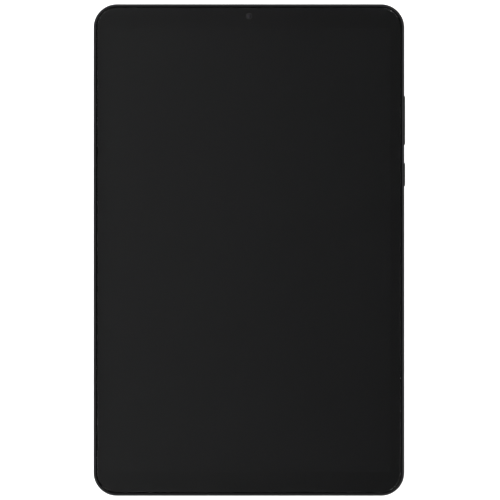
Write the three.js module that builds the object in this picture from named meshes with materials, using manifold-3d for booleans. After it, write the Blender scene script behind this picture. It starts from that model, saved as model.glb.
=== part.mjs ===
// A slim tablet computer with an 8.4-inch 16:10 display, as the separate pieces it comes apart into.
//
// Millimetres. The tablet lies on its back: +X is the side with the keys, +Y the top edge of the upright
// picture, +Z out of the screen. The origin is the middle of the back face, on the surface it lies on.
//
// Order of this file: driving sizes, helpers, casing, display, keys, card tray, boards and power, ports and
// sound, cameras, fasteners and cables, assembly.

import * as THREE from "three";
import Module from "manifold-3d";
import { mergeVertices } from "three/addons/utils/BufferGeometryUtils.js";

const wasm = await Module();
wasm.setup();

// ---------------------------------------------------------------------------------------------------------
// Driving sizes
// ---------------------------------------------------------------------------------------------------------

const bodyWidth = 126.4; // side wall to side wall, without the keys
const bodyHeight = 200;
const bodyThickness = 7.1;
const cornerRadius = 9.4;

// Casing
const coverFloor = 0.8;
const coverWall = 1.2;
const coverRimDrop = 1.6; // from the front of the glass down to where the cover's side walls end
const backEdgeRound = 1.6;
const cavityRound = 0.8; // inside corner between the cover's floor and walls
const antennaCapDepth = 11.5; // plastic end of the cover, down from the top edge
const seamGap = 0.1; // between any two casing pieces
const sideZ = 3.1; // height of the keys, card tray and ports

// Front frame
const frameClearance = 0.15; // to the inside of the cover's walls
const lipInset = 0.1; // the lip stands this far inside the cover's side face
const lipWidth = 1;
const lipDrop = 0.15; // the lip ends this far below the front of the glass
const lipRound = 0.45;
const shelfGap = 0.15; // between the glass and the frame's shelf under it
const midPlateThickness = 0.45;

// Glass and display
const gasketGap = 0.45; // between lip and glass
const gasketClearance = 0.05;
const gasketDrop = 0.38; // the gasket ends this far below the front of the glass
const glassThickness = 0.7;
const glassEdgeRound = 0.25;
const maskThickness = 0.1;
const maskInset = 0.3;
const displaySideBorder = 5.7; // from the body's side to the lit area
const displayEndBorder = 9.8; // from the body's top and bottom edge to the lit area
const panelSideMargin = 2; // display cell past the lit area, on each side
const panelTopMargin = 1.4;
const panelBottomMargin = 4; // the driver chips sit here
const panelThickness = 0.75;
const backlightThickness = 0.6;
const layerGap = 0.05; // between stacked layers
const pocketClearance = 0.3; // display to frame

// Keys: places are measured down from the top edge
const rockerLength = 19.8;
const rockerFromTop = 47.2;
const powerKeyLength = 9.4;
const powerKeyFromTop = 69.25;
const keyHeight = 1.9;
const keyProud = 0.45; // past the side face
const keyGap = 0.12; // around a key in its slot
const keyFlangeThickness = 0.65;
const keyFlangeReach = 0.7; // past each end of the key
const keyFlangeSetback = 0.45; // from the wall's inside face
const nubLength = 0.45;
const nubRadius = 0.8;
const rockerNubOffset = 6;
const domeGap = 0.3; // between a nub and its switch
const domeHeight = 0.38;
const domeRadius = 1.1;
const keyFlexThickness = 0.12;
const keyBracketThickness = 0.35;

// Card tray, in the -X side
const trayFromTop = 29; // middle of the tray's face
const trayFaceHeight = 2.3;
const trayGap = 0.1;
const trayBladeThickness = 1.1;
const trayBladeWidth = 13.8;
const trayBladeMargin = 0.6; // face past the blade, at the end away from the pinhole
const simPocket = { length: 12.4, width: 8.9 };
const memoryPocket = { length: 15.1, width: 11.1 };
const trayRib = 1;
const pocketLedge = 0.8;
const pocketDepth = 0.7;
const pinholeRadius = 0.45;
const pinholeFromEnd = 1.7; // from the face's lower end
const socketWall = 0.5;
const socketRoof = 0.2;
const socketClearance = 0.2;
const ejectRodSide = 0.8;
const ejectRodClearance = 0.8; // to the socket's wall
const leverWidth = 1.2;
const leverPivotRadius = 0.5;
const leverHoleRadius = 0.62;
const leverThrow = 5; // from pivot to the tip that pushes the tray
const leverGap = 1.9; // tip to tray, so that each can move alone
const rodGap = 0.2;

// Boards and power
const boardZ = 1.7;
const boardThickness = 0.7;
const mainBoard = { side: 5, top: 7.8, depth: 31 }; // gaps to the body's sides and top edge, and its depth
const subBoard = { width: 40, depth: 24, bottom: 7.8 };
const shieldHeight = 1.45;
const shieldSheet = 0.2;
const chipHeight = 1;
const battery = { side: 13.2, bottom: 40, top: 48, z: 1, gapAbove: 0.2 };
const batteryBoard = { width: 60, depth: 3.5, thickness: 1.4 };
const adhesiveThickness = 0.14;

// Ports and sound
const usbShell = { width: 8.94, height: 3.16, wall: 0.3, length: 7.2, recess: 0.3 };
const usbTongue = { width: 6.69, height: 0.7, base: 1, setback: 0.8, clearance: 0.07 };
const usbHoleGap = 0.08;
const jack = { fromSide: 18.2, z: 2.85, boreRadius: 1.75, width: 6, height: 3.8, setback: 0.9, depth: 12 };
const jackNose = { radius: 2, recess: 0.35 };
const jackEnd = 0.6; // solid end behind the bore
const jackHoleGap = 0.05;
const speaker = { fromSide: 9.2, width: 32, depth: 14.4, height: 3.1, wallGap: 0.4 };
const speakerHole = { count: 6, pitch: 2.2, radius: 0.65, fromSide: 17.2 };
const speakerMesh = { thickness: 0.2, height: 2, margin: 1.5 };
const microphoneHoleRadius = 0.5;
const microphone = { width: 3, depth: 3.6, height: 1.1 };
const topMicrophoneX = 22;
const bottomMicrophoneX = -11;
const motor = { x: 38, fromBottom: 26, radius: 4.5, height: 2.7 };

// Cameras: places are measured from the top edge and from the +X side
const frontCamera = { fromTop: 4.95, windowRadius: 1.33, lensRadius: 0.65, module: 6, barrelRadius: 2.5 };
const rearCamera = { fromSide: 13.2, fromTop: 18, module: 8.5, barrelRadius: 3 };
const rearRing = { radius: 4.6, width: 1.2, holeGap: 0.05 };
const rearWindowThickness = 0.5;
const rearWindowRecess = 0.15;

// Screws
const screw = { headRadius: 1.3, headHeight: 0.55, shankRadius: 0.6, length: 2.45 };
const bossRadius = 1.9;
const bossHoleRadius = 0.75;
const boardHoleRadius = 0.8;

// Facets of a quarter turn, by how large the round is
const largeArc = 10;
const smallArc = 5;

// Worked out from the above
const right = bodyWidth / 2;
const top = bodyHeight / 2;
const wallX = right - coverWall; // inside faces of the cover's walls
const wallY = top - coverWall;
const frameInset = coverWall + frameClearance;
const glassInset = lipInset + lipWidth + gasketGap;
const glassZ = bodyThickness - glassThickness;
const lipTopZ = bodyThickness - lipDrop;
const gasketTopZ = bodyThickness - gasketDrop;
const coverRimZ = bodyThickness - coverRimDrop;
const shelfZ = glassZ - shelfGap;
const maskZ = glassZ - 0.02 - maskThickness;
const panelZ = shelfZ - layerGap - panelThickness;
const backlightZ = panelZ - layerGap - backlightThickness;
const midPlateZ = backlightZ - layerGap - midPlateThickness;
const litX = right - displaySideBorder;
const litY = top - displayEndBorder;
const panelX = litX + panelSideMargin;
const panelTop = litY + panelTopMargin;
const panelBottom = -litY - panelBottomMargin;
const boardTopZ = boardZ + boardThickness;
const rockerY = top - rockerFromTop;
const powerKeyY = top - powerKeyFromTop;
const keyFlangeX = wallX - keyFlangeSetback; // outer face of a key's flange
const nubX = keyFlangeX - keyFlangeThickness - nubLength; // tip of a nub
const domeX = nubX - domeGap - domeHeight; // foot of a switch
const keyFlexX = domeX - 0.05 - keyFlexThickness;
const keyBracketX = keyFlexX - 0.05 - keyBracketThickness;
const trayY = top - trayFromTop;
const ejectRodReach = socketClearance + socketWall + ejectRodClearance + ejectRodSide / 2; // blade to rod
const trayFaceLength = trayBladeMargin + trayBladeWidth + ejectRodReach + pinholeFromEnd;
const bladeY = trayY + trayFaceLength / 2 - trayBladeMargin - trayBladeWidth / 2;
const bladeLength = 2 * trayRib + trayRib + simPocket.length + memoryPocket.length + 0.6;
const bladeEndX = -wallX - 0.05 + bladeLength; // the tray's inner end
const ejectRodY = trayY - trayFaceLength / 2 + pinholeFromEnd;
const leverX = bladeEndX + leverGap + leverWidth / 2;
const leverPivotY = ejectRodY + 3.8;
const batteryTop = top - battery.top;
const batteryThickness = midPlateZ - battery.gapAbove - battery.z;
const jackX = -right + jack.fromSide;
const rearCameraX = right - rearCamera.fromSide;
const subBoardBottom = -top + subBoard.bottom;
const mainBoardTop = top - mainBoard.top;
const mainBoardBottom = mainBoardTop - mainBoard.depth;
const frontCameraY = top - frontCamera.fromTop;
const rearCameraY = top - rearCamera.fromTop;

// ---------------------------------------------------------------------------------------------------------
// Helpers
// ---------------------------------------------------------------------------------------------------------

// A closed three.js geometry as a solid that can be joined and cut.
function solid(geometry) {
  const plain = geometry.index ? geometry.toNonIndexed() : geometry.clone();
  plain.deleteAttribute("normal");
  plain.deleteAttribute("uv");
  const merged = mergeVertices(plain, 1e-4);
  return new wasm.Manifold(
    new wasm.Mesh({
      numProp: 3,
      vertProperties: merged.attributes.position.array,
      triVerts: new Uint32Array(merged.index.array),
    }),
  );
}

// A solid as a flat-shaded three.js geometry.
function geometryOf(body) {
  const mesh = body.getMesh();
  const points = new Float32Array(mesh.numVert * 3);
  for (let i = 0; i < mesh.numVert; i++) {
    points.set(mesh.vertProperties.subarray(i * mesh.numProp, i * mesh.numProp + 3), i * 3);
  }
  const indexed = new THREE.BufferGeometry();
  indexed.setAttribute("position", new THREE.BufferAttribute(points, 3));
  indexed.setIndex(new THREE.BufferAttribute(mesh.triVerts, 1));
  const flat = indexed.toNonIndexed();
  flat.computeVertexNormals();
  return flat;
}

const join = (...bodies) => bodies.reduce((whole, body) => whole.add(body));
const cut = (body, ...tools) => tools.reduce((whole, tool) => whole.subtract(tool), body);

// A box between two corners.
function block(x0, x1, y0, y1, z0, z1) {
  const box = new THREE.BoxGeometry(x1 - x0, y1 - y0, z1 - z0);
  return solid(box.translate((x0 + x1) / 2, (y0 + y1) / 2, (z0 + z1) / 2));
}

// A rectangle with round corners. A radius of half the short side makes a slot with round ends.
function roundRect(width, height, radius, middleX = 0, middleY = 0) {
  const r = Math.min(radius, width / 2 - 0.01, height / 2 - 0.01);
  const x = width / 2 - r;
  const y = height / 2 - r;
  const shape = new THREE.Shape();
  for (let quarter = 0; quarter < 4; quarter++) {
    const cornerX = middleX + (quarter === 0 || quarter === 3 ? x : -x);
    const cornerY = middleY + (quarter < 2 ? y : -y);
    shape.absarc(cornerX, cornerY, r, (quarter * Math.PI) / 2, ((quarter + 1) * Math.PI) / 2);
  }
  return shape;
}

// The body's outline, moved inwards by an inset.
function bodyOutline(inset) {
  return roundRect(bodyWidth - 2 * inset, bodyHeight - 2 * inset, cornerRadius - inset);
}

// A flat plate with the given outline.
function plate(shape, z0, z1, arc = largeArc) {
  const options = { depth: z1 - z0, bevelEnabled: false, curveSegments: arc };
  return solid(new THREE.ExtrudeGeometry(shape, options).translate(0, 0, z0));
}

// A plate whose lower or upper edge is rounded. It is made with both edges round, on a stretch longer than
// wanted, and the end that stays square is cut off.
function roundedPlate(shape, z0, z1, round, roundEnd, arc = largeArc, steps = 4) {
  const spare = 2 * round;
  const low = roundEnd === "low" ? z0 : z0 - spare;
  const high = roundEnd === "low" ? z1 + spare : z1;
  const options = {
    depth: high - low - 2 * round,
    bevelEnabled: true,
    bevelThickness: round,
    bevelSize: round,
    bevelOffset: -round,
    bevelSegments: steps,
    curveSegments: arc,
  };
  const whole = solid(new THREE.ExtrudeGeometry(shape, options).translate(0, 0, low + round));
  const far = bodyWidth + bodyHeight;
  return whole.intersect(block(-far, far, -far, far, z0, z1));
}

// A slot with round ends that runs along X: length lies along Y and height along Z.
function slotAlongX(length, height, x0, x1, y, z) {
  const options = { depth: x1 - x0, bevelEnabled: false, curveSegments: smallArc };
  const made = new THREE.ExtrudeGeometry(roundRect(height, length, height / 2), options);
  return solid(made.rotateY(Math.PI / 2).translate(x0, y, z));
}

// A slot with round ends that runs along Y: width lies along X and height along Z.
function slotAlongY(width, height, y0, y1, x, z) {
  const options = { depth: y1 - y0, bevelEnabled: false, curveSegments: smallArc };
  const made = new THREE.ExtrudeGeometry(roundRect(width, height, height / 2), options);
  return solid(made.rotateX(-Math.PI / 2).translate(x, y0, z));
}

// Round bars along each axis.
function barAlongX(radius, x0, x1, y, z, sides = 12) {
  const bar = new THREE.CylinderGeometry(radius, radius, x1 - x0, sides);
  return solid(bar.rotateZ(Math.PI / 2).translate((x0 + x1) / 2, y, z));
}

function barAlongY(radius, y0, y1, x, z, sides = 12) {
  const bar = new THREE.CylinderGeometry(radius, radius, y1 - y0, sides);
  return solid(bar.translate(x, (y0 + y1) / 2, z));
}

function barAlongZ(radius, z0, z1, x, y, sides = 16) {
  const bar = new THREE.CylinderGeometry(radius, radius, z1 - z0, sides);
  return solid(bar.rotateX(Math.PI / 2).translate(x, y, (z0 + z1) / 2));
}

// A ribbon cable: a bent strip given by its line in the YZ plane, as wide as x0 to x1.
function ribbon(line, thickness, x0, x1) {
  const points = line.map(([y, z]) => new THREE.Vector2(y, z));
  const side = points.map((point, i) => {
    const before = point.clone().sub(points[Math.max(i - 1, 0)]);
    const after = points[Math.min(i + 1, points.length - 1)].clone().sub(point);
    const a = (before.length() ? before : after).clone().normalize();
    const b = (after.length() ? after : before).clone().normalize();
    const mid = a.clone().add(b).normalize();
    const reach = thickness / 2 / mid.dot(a); // a mitre at each bend
    return new THREE.Vector2(-mid.y, mid.x).multiplyScalar(reach);
  });
  const left = points.map((point, i) => point.clone().add(side[i]));
  const back = points.map((point, i) => point.clone().sub(side[i])).reverse();
  const strip = new THREE.Shape([...left, ...back]);
  const made = new THREE.ExtrudeGeometry(strip, { depth: x1 - x0, bevelEnabled: false });
  // The strip is drawn with Y and Z as its own x and y, so it is turned to stand along X.
  const turn = new THREE.Matrix4().makeBasis(
    new THREE.Vector3(0, 1, 0),
    new THREE.Vector3(0, 0, 1),
    new THREE.Vector3(1, 0, 0),
  );
  return solid(made.applyMatrix4(turn).translate(x0, 0, 0));
}

const metal = (color, roughness) => new THREE.MeshStandardMaterial({ color, roughness, metalness: 0.9 });
const dull = (color, roughness) => new THREE.MeshStandardMaterial({ color, roughness, metalness: 0 });

const finishes = {
  anodised: metal(0x2b2c2f, 0.42),
  capPlastic: dull(0x2a2b2d, 0.5),
  framePlastic: dull(0x1b1c1e, 0.38),
  gasket: dull(0x050505, 0.8),
  glass: dull(0x08090a, 0.06),
  ink: dull(0x070708, 0.5),
  panel: dull(0x0d0e10, 0.3),
  backlight: dull(0xd9d9d4, 0.5),
  steel: metal(0xb9bbbe, 0.32),
  darkSteel: metal(0x3a3b3d, 0.4),
  tin: metal(0xc4c6c8, 0.28),
  blackPlastic: dull(0x111213, 0.55),
  board: dull(0x12301f, 0.5),
  chip: dull(0x1a1a1c, 0.45),
  pouch: metal(0x9a9da1, 0.45),
  polyimide: dull(0x7a4a12, 0.4),
  foil: metal(0xa6834a, 0.4),
  adhesive: dull(0xe8e6df, 0.6),
  lens: dull(0x0a0c18, 0.05),
};

const tablet = new THREE.Group();

// Adds a piece to the tablet as its own named mesh.
function add(name, body, material) {
  const mesh = new THREE.Mesh(geometryOf(body), material);
  mesh.name = name;
  tablet.add(mesh);
}

// ---------------------------------------------------------------------------------------------------------
// Casing
// ---------------------------------------------------------------------------------------------------------

// The middles of the two rows of speaker holes, one on each side of the centre line.
const speakerRowX = right - speakerHole.fromSide - ((speakerHole.count - 1) * speakerHole.pitch) / 2;
const speakerRows = [-speakerRowX, speakerRowX];

function speakerHoles() {
  const holes = [];
  for (const middle of speakerRows) {
    for (let i = 0; i < speakerHole.count; i++) {
      const x = middle + (i - (speakerHole.count - 1) / 2) * speakerHole.pitch;
      holes.push(barAlongY(speakerHole.radius, -top - 1, -wallY + 1, x, sideZ, 10));
    }
  }
  return holes;
}

// The whole tray-shaped cover with every opening, before its plastic end is parted from it.
function coverShell() {
  const outside = roundedPlate(bodyOutline(0), 0, coverRimZ, backEdgeRound, "low");
  const cavity = roundedPlate(bodyOutline(coverWall), coverFloor, coverRimZ + 1, cavityRound, "low");
  const throughRight = (length, y) =>
    slotAlongX(length + 2 * keyGap, keyHeight + 2 * keyGap, wallX - 1, right + 1, y, sideZ);
  const trayHole = slotAlongX(
    trayFaceLength + 2 * trayGap,
    trayFaceHeight + 2 * trayGap,
    -right - 1,
    -wallX + 1,
    trayY,
    sideZ,
  );
  const usbHole = slotAlongY(
    usbShell.width + 2 * usbHoleGap,
    usbShell.height + 2 * usbHoleGap,
    -top - 1,
    -wallY + 1,
    0,
    sideZ,
  );
  return cut(
    outside,
    cavity,
    throughRight(rockerLength, rockerY),
    throughRight(powerKeyLength, powerKeyY),
    trayHole,
    usbHole,
    barAlongY(jackNose.radius + jackHoleGap, wallY - 1, top + 1, jackX, jack.z, 24),
    barAlongY(microphoneHoleRadius, wallY - 1, top + 1, topMicrophoneX, sideZ, 10),
    barAlongY(microphoneHoleRadius, -top - 1, -wallY + 1, bottomMicrophoneX, sideZ, 10),
    barAlongZ(rearRing.radius + rearRing.holeGap, -1, coverFloor + 1, rearCameraX, rearCameraY, 32),
    ...speakerHoles(),
  );
}

const shell = coverShell();
const capEdgeY = top - antennaCapDepth;
const far = bodyWidth + bodyHeight;
const below = block(-far, far, -far, capEdgeY - seamGap, -1, bodyThickness);
const above = block(-far, far, capEdgeY, far, -1, bodyThickness);
add("back_cover", shell.intersect(below), finishes.anodised);
add("antenna_cap", shell.intersect(above), finishes.capPlastic);

const screwPlaces = [
  [-right + 9.7, mainBoardTop - 5.7],
  [-right + 33.2, mainBoardTop - 5.7],
  [right - 33.2, mainBoardTop - 5.7],
  [right - 10.2, mainBoardBottom + 4.8],
  [right - 45.2, mainBoardBottom + 2.8],
  [-subBoard.width / 2 + 3, subBoardBottom + 4],
  [-subBoard.width / 2 + 3, subBoardBottom + subBoard.depth - 3],
  [subBoard.width / 2 - 3, subBoardBottom + subBoard.depth - 3],
];

const displayFlexX = { low: 8, high: 18 };
const flexSlotDepth = 1.3; // in the frame, past the display pocket

// The one-piece front frame: a lip round the glass, a shelf under the glass's edge, a thin plate behind the
// display, and the bosses that the boards are screwed to.
function frontFrame() {
  const deck = plate(bodyOutline(frameInset), midPlateZ, coverRimZ + seamGap);
  const lip = roundedPlate(bodyOutline(lipInset), coverRimZ + seamGap, lipTopZ, lipRound, "high");
  const glassWell = plate(bodyOutline(lipInset + lipWidth), shelfZ, bodyThickness + 1);
  const pocket = block(
    -panelX - pocketClearance,
    panelX + pocketClearance,
    panelBottom - pocketClearance,
    panelTop + pocketClearance,
    midPlateZ + midPlateThickness,
    bodyThickness,
  );
  const cameraHalf = frontCamera.module / 2 + pocketClearance;
  const frontCameraWell = block(
    -cameraHalf,
    cameraHalf,
    panelTop + pocketClearance - 0.1,
    frontCameraY + cameraHalf,
    midPlateZ - 1,
    bodyThickness,
  );
  const usbNotch = block(
    -usbShell.width / 2 - 0.3,
    usbShell.width / 2 + 0.3,
    -top,
    -top + usbShell.recess + usbShell.length + 0.3,
    midPlateZ - 1,
    sideZ + usbShell.height / 2 + 0.1,
  );
  const jackNotch = block(
    jackX - jack.width / 2 - 0.3,
    jackX + jack.width / 2 + 0.3,
    wallY - jack.setback - jack.depth - 0.3,
    top,
    midPlateZ - 1,
    jack.z + jackNose.radius + 0.1,
  );
  const flexSlot = block(
    displayFlexX.low - 0.5,
    displayFlexX.high + 0.5,
    panelBottom - pocketClearance - flexSlotDepth,
    panelBottom - 0.1,
    midPlateZ - 1,
    shelfZ - 0.3,
  );
  const bosses = screwPlaces.map(([x, y]) =>
    barAlongZ(bossRadius, boardTopZ + 0.05, midPlateZ + 0.1, x, y, 12),
  );
  const bossHoles = screwPlaces.map(([x, y]) =>
    barAlongZ(bossHoleRadius, boardTopZ - 1, midPlateZ + 0.05, x, y, 10),
  );
  const whole = join(deck, lip, ...bosses);
  return cut(whole, glassWell, pocket, frontCameraWell, usbNotch, jackNotch, flexSlot, ...bossHoles);
}

add("front_frame", frontFrame(), finishes.framePlastic);

// ---------------------------------------------------------------------------------------------------------
// Display and glass
// ---------------------------------------------------------------------------------------------------------

function displayGasket() {
  const outer = plate(bodyOutline(lipInset + lipWidth + gasketClearance), shelfZ + 0.02, gasketTopZ);
  const inner = plate(bodyOutline(glassInset - gasketClearance), shelfZ - 1, bodyThickness);
  return cut(outer, inner);
}

// The black print behind the glass, with the lit area and the camera's window left clear.
function borderMask() {
  const sheet = plate(bodyOutline(glassInset + maskInset), maskZ, maskZ + maskThickness);
  const litWindow = block(-litX, litX, -litY, litY, maskZ - 1, bodyThickness);
  const cameraWindow = barAlongZ(frontCamera.windowRadius, maskZ - 1, bodyThickness, 0, frontCameraY, 24);
  return cut(sheet, litWindow, cameraWindow);
}

add("display_gasket", displayGasket(), finishes.gasket);
add(
  "cover_glass",
  roundedPlate(bodyOutline(glassInset), glassZ, bodyThickness, glassEdgeRound, "high"),
  finishes.glass,
);
add("border_mask", borderMask(), finishes.ink);
add(
  "display_panel",
  block(-panelX, panelX, panelBottom, panelTop, panelZ, panelZ + panelThickness),
  finishes.panel,
);
add(
  "backlight_unit",
  block(
    -panelX + 0.3,
    panelX - 0.3,
    panelBottom + 1,
    panelTop - 0.3,
    backlightZ,
    backlightZ + backlightThickness,
  ),
  finishes.backlight,
);

// From the display cell's lower edge, down through the frame, and back under it to the sub board.
const displayFlexLine = [
  [panelBottom - 0.1, panelZ + 0.3],
  [panelBottom - 0.9, panelZ + 0.3],
  [panelBottom - 0.9, boardTopZ + 1.1],
  [subBoardBottom + 3, boardTopZ + 1.1],
  [subBoardBottom + 5, boardTopZ + 0.2],
  [subBoardBottom + 11, boardTopZ + 0.2],
];
add(
  "display_flex",
  ribbon(displayFlexLine, 0.12, displayFlexX.low, displayFlexX.high),
  finishes.polyimide,
);

// ---------------------------------------------------------------------------------------------------------
// Keys in the +X side
// ---------------------------------------------------------------------------------------------------------

// A key: a cap with round ends that comes out through the wall, a flange that keeps it in, and one nub for
// each switch it presses.
function key(length, y, nubOffsets) {
  const cap = slotAlongX(length, keyHeight, keyFlangeX - 0.1, right + keyProud, y, sideZ);
  const flange = block(
    keyFlangeX - keyFlangeThickness,
    keyFlangeX,
    y - length / 2 - keyFlangeReach,
    y + length / 2 + keyFlangeReach,
    sideZ - keyHeight / 2,
    sideZ + keyHeight / 2,
  );
  const nubs = nubOffsets.map((offset) =>
    barAlongX(nubRadius, nubX, keyFlangeX - keyFlangeThickness + 0.1, y + offset, sideZ),
  );
  return join(cap, flange, ...nubs);
}

add("volume_rocker", key(rockerLength, rockerY, [-rockerNubOffset, rockerNubOffset]), finishes.anodised);
add("power_key", key(powerKeyLength, powerKeyY, [0]), finishes.anodised);

const dome = (y) => barAlongX(domeRadius, domeX, domeX + domeHeight, y, sideZ);
add("volume_up_switch", dome(rockerY + rockerNubOffset), finishes.steel);
add("volume_down_switch", dome(rockerY - rockerNubOffset), finishes.steel);
add("power_switch", dome(powerKeyY), finishes.steel);

const keyStripTop = rockerY + rockerLength / 2 + 2;
const keyStripBottom = powerKeyY - powerKeyLength / 2 - 2;
add(
  "key_flex",
  block(keyFlexX, keyFlexX + keyFlexThickness, keyStripBottom, keyStripTop, sideZ - 1, sideZ + 1),
  finishes.polyimide,
);
add(
  "key_bracket",
  block(
    keyBracketX,
    keyBracketX + keyBracketThickness,
    keyStripBottom - 1,
    keyStripTop + 1,
    sideZ - 1.1,
    midPlateZ - 0.1,
  ),
  finishes.darkSteel,
);

// ---------------------------------------------------------------------------------------------------------
// Card tray in the -X side
// ---------------------------------------------------------------------------------------------------------

// A pocket that holds a card on a ledge, starting at x.
function cardPocket(pocket, x) {
  const bladeTop = sideZ + trayBladeThickness / 2;
  const half = pocket.width / 2;
  const seat = block(x, x + pocket.length, bladeY - half, bladeY + half, bladeTop - pocketDepth, far);
  const window = block(
    x + pocketLedge,
    x + pocket.length - pocketLedge,
    bladeY - half + pocketLedge,
    bladeY + half - pocketLedge,
    -1,
    far,
  );
  return join(seat, window);
}

function cardTray() {
  const face = slotAlongX(trayFaceLength, trayFaceHeight, -right, -wallX - 0.05, trayY, sideZ);
  const blade = block(
    -wallX - 0.15,
    bladeEndX,
    bladeY - trayBladeWidth / 2,
    bladeY + trayBladeWidth / 2,
    sideZ - trayBladeThickness / 2,
    sideZ + trayBladeThickness / 2,
  );
  const simX = -wallX + trayRib + 0.4;
  const memoryX = simX + simPocket.length + trayRib;
  const pinhole = barAlongX(pinholeRadius, -right - 1, -wallX + 1, ejectRodY, sideZ, 10);
  return cut(join(face, blade), cardPocket(simPocket, simX), cardPocket(memoryPocket, memoryX), pinhole);
}

// A sheet-metal cage over the tray, open below, where the board is, and at both ends.
function cardSocket() {
  const halfIn = trayBladeWidth / 2 + socketClearance;
  const roofZ = sideZ + trayBladeThickness / 2 + socketClearance;
  const outer = block(
    -wallX + 1,
    bladeEndX + leverGap - 0.4,
    bladeY - halfIn - socketWall,
    bladeY + halfIn + socketWall,
    boardTopZ + 0.05,
    roofZ + socketRoof,
  );
  return cut(outer, block(-far, far, bladeY - halfIn, bladeY + halfIn, 0, roofZ));
}

function ejectLever() {
  const low = ejectRodY - 0.5;
  const high = leverPivotY + leverThrow;
  const arm = block(
    leverX - leverWidth / 2,
    leverX + leverWidth / 2,
    low,
    high,
    sideZ - ejectRodSide / 2,
    sideZ + ejectRodSide / 2,
  );
  const hub = barAlongZ(1.1, sideZ - ejectRodSide / 2, sideZ + ejectRodSide / 2, leverX, leverPivotY);
  const hole = barAlongZ(leverHoleRadius, 0, far, leverX, leverPivotY);
  return cut(join(arm, hub), hole);
}

add("card_tray", cardTray(), finishes.anodised);
add("card_socket", cardSocket(), finishes.tin);
add(
  "eject_rod",
  block(
    -wallX + 0.3,
    leverX - leverWidth / 2 - rodGap,
    ejectRodY - ejectRodSide / 2,
    ejectRodY + ejectRodSide / 2,
    sideZ - ejectRodSide / 2,
    sideZ + ejectRodSide / 2,
  ),
  finishes.tin,
);
add("eject_lever", ejectLever(), finishes.tin);
add(
  "eject_pivot",
  barAlongZ(leverPivotRadius, boardTopZ + 0.05, midPlateZ - 0.1, leverX, leverPivotY),
  finishes.steel,
);

// ---------------------------------------------------------------------------------------------------------
// Boards, battery and shields
// ---------------------------------------------------------------------------------------------------------

const boardHoles = screwPlaces.map(([x, y]) => barAlongZ(boardHoleRadius, 0, boardTopZ + 1, x, y, 12));
const cameraBay = rearCamera.module / 2 + 0.8;

function mainBoardSolid() {
  const whole = block(
    -right + mainBoard.side,
    right - mainBoard.side,
    mainBoardBottom,
    mainBoardTop,
    boardZ,
    boardTopZ,
  );
  const jackBay = block(
    jackX - jack.width / 2 - 0.5,
    jackX + jack.width / 2 + 0.5,
    wallY - jack.setback - jack.depth - 0.5,
    top,
    0,
    bodyThickness,
  );
  const rearCameraBay = block(
    rearCameraX - cameraBay,
    right,
    rearCameraY - cameraBay,
    top,
    0,
    bodyThickness,
  );
  return cut(whole, jackBay, rearCameraBay, ...boardHoles);
}

// A pressed tin lid over a group of chips, open towards the board.
function shieldCan(x0, x1, y0, y1) {
  const z = boardTopZ + 0.02;
  const lid = block(x0, x1, y0, y1, z, z + shieldHeight);
  const room = block(
    x0 + shieldSheet,
    x1 - shieldSheet,
    y0 + shieldSheet,
    y1 - shieldSheet,
    0,
    z + shieldHeight - shieldSheet,
  );
  return cut(lid, room);
}

add("main_board", mainBoardSolid(), finishes.board);
add(
  "processor",
  block(-17, -3, mainBoardBottom + 8.5, mainBoardBottom + 22.5, boardTopZ, boardTopZ + chipHeight),
  finishes.chip,
);
add(
  "storage_chip",
  block(-1, 10.5, mainBoardBottom + 9, mainBoardBottom + 22, boardTopZ, boardTopZ + chipHeight),
  finishes.chip,
);
add(
  "processor_shield",
  shieldCan(-22, right - 49.2, mainBoardBottom + 3.5, mainBoardTop - 3.5),
  finishes.tin,
);
add(
  "radio_shield",
  shieldCan(right - 41.2, right - 21.2, mainBoardBottom + 3.5, mainBoardTop - 10.5),
  finishes.tin,
);
add(
  "sub_board",
  cut(
    block(
      -subBoard.width / 2,
      subBoard.width / 2,
      subBoardBottom,
      subBoardBottom + subBoard.depth,
      boardZ,
      boardTopZ,
    ),
    ...boardHoles,
  ),
  finishes.board,
);

const batteryX = right - battery.side;
const batteryBottom = -top + battery.bottom;
const pouch = roundRect(2 * batteryX, batteryTop - batteryBottom, 1.5, 0, (batteryTop + batteryBottom) / 2);
add("battery", plate(pouch, battery.z, battery.z + batteryThickness, smallArc), finishes.pouch);
add(
  "battery_board",
  block(
    -batteryBoard.width / 2,
    batteryBoard.width / 2,
    batteryTop + 0.4,
    batteryTop + 0.4 + batteryBoard.depth,
    boardTopZ,
    boardTopZ + batteryBoard.thickness,
  ),
  finishes.board,
);
const adhesiveZ = coverFloor + 0.03;
for (const [name, side] of [
  ["battery_adhesive_left", -1],
  ["battery_adhesive_right", 1],
]) {
  const middle = (side * batteryX) / 2;
  add(
    name,
    block(
      middle - 8,
      middle + 8,
      batteryBottom + 6,
      batteryTop - 6,
      adhesiveZ,
      adhesiveZ + adhesiveThickness,
    ),
    finishes.adhesive,
  );
}

// ---------------------------------------------------------------------------------------------------------
// Ports and sound
// ---------------------------------------------------------------------------------------------------------

const usbMouthY = -top + usbShell.recess;
const usbEndY = usbMouthY + usbShell.length;
const usbRoom = { width: usbShell.width - 2 * usbShell.wall, height: usbShell.height - 2 * usbShell.wall };

add(
  "usb_shell",
  cut(
    slotAlongY(usbShell.width, usbShell.height, usbMouthY, usbEndY, 0, sideZ),
    slotAlongY(usbRoom.width, usbRoom.height, usbMouthY - 1, usbEndY + 1, 0, sideZ),
  ),
  finishes.steel,
);
add(
  "usb_tongue",
  join(
    slotAlongY(
      usbRoom.width - 2 * usbTongue.clearance,
      usbRoom.height - 2 * usbTongue.clearance,
      usbEndY - usbTongue.base,
      usbEndY,
      0,
      sideZ,
    ),
    block(
      -usbTongue.width / 2,
      usbTongue.width / 2,
      usbMouthY + usbTongue.setback,
      usbEndY - usbTongue.base / 2,
      sideZ - usbTongue.height / 2,
      sideZ + usbTongue.height / 2,
    ),
  ),
  finishes.blackPlastic,
);

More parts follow.
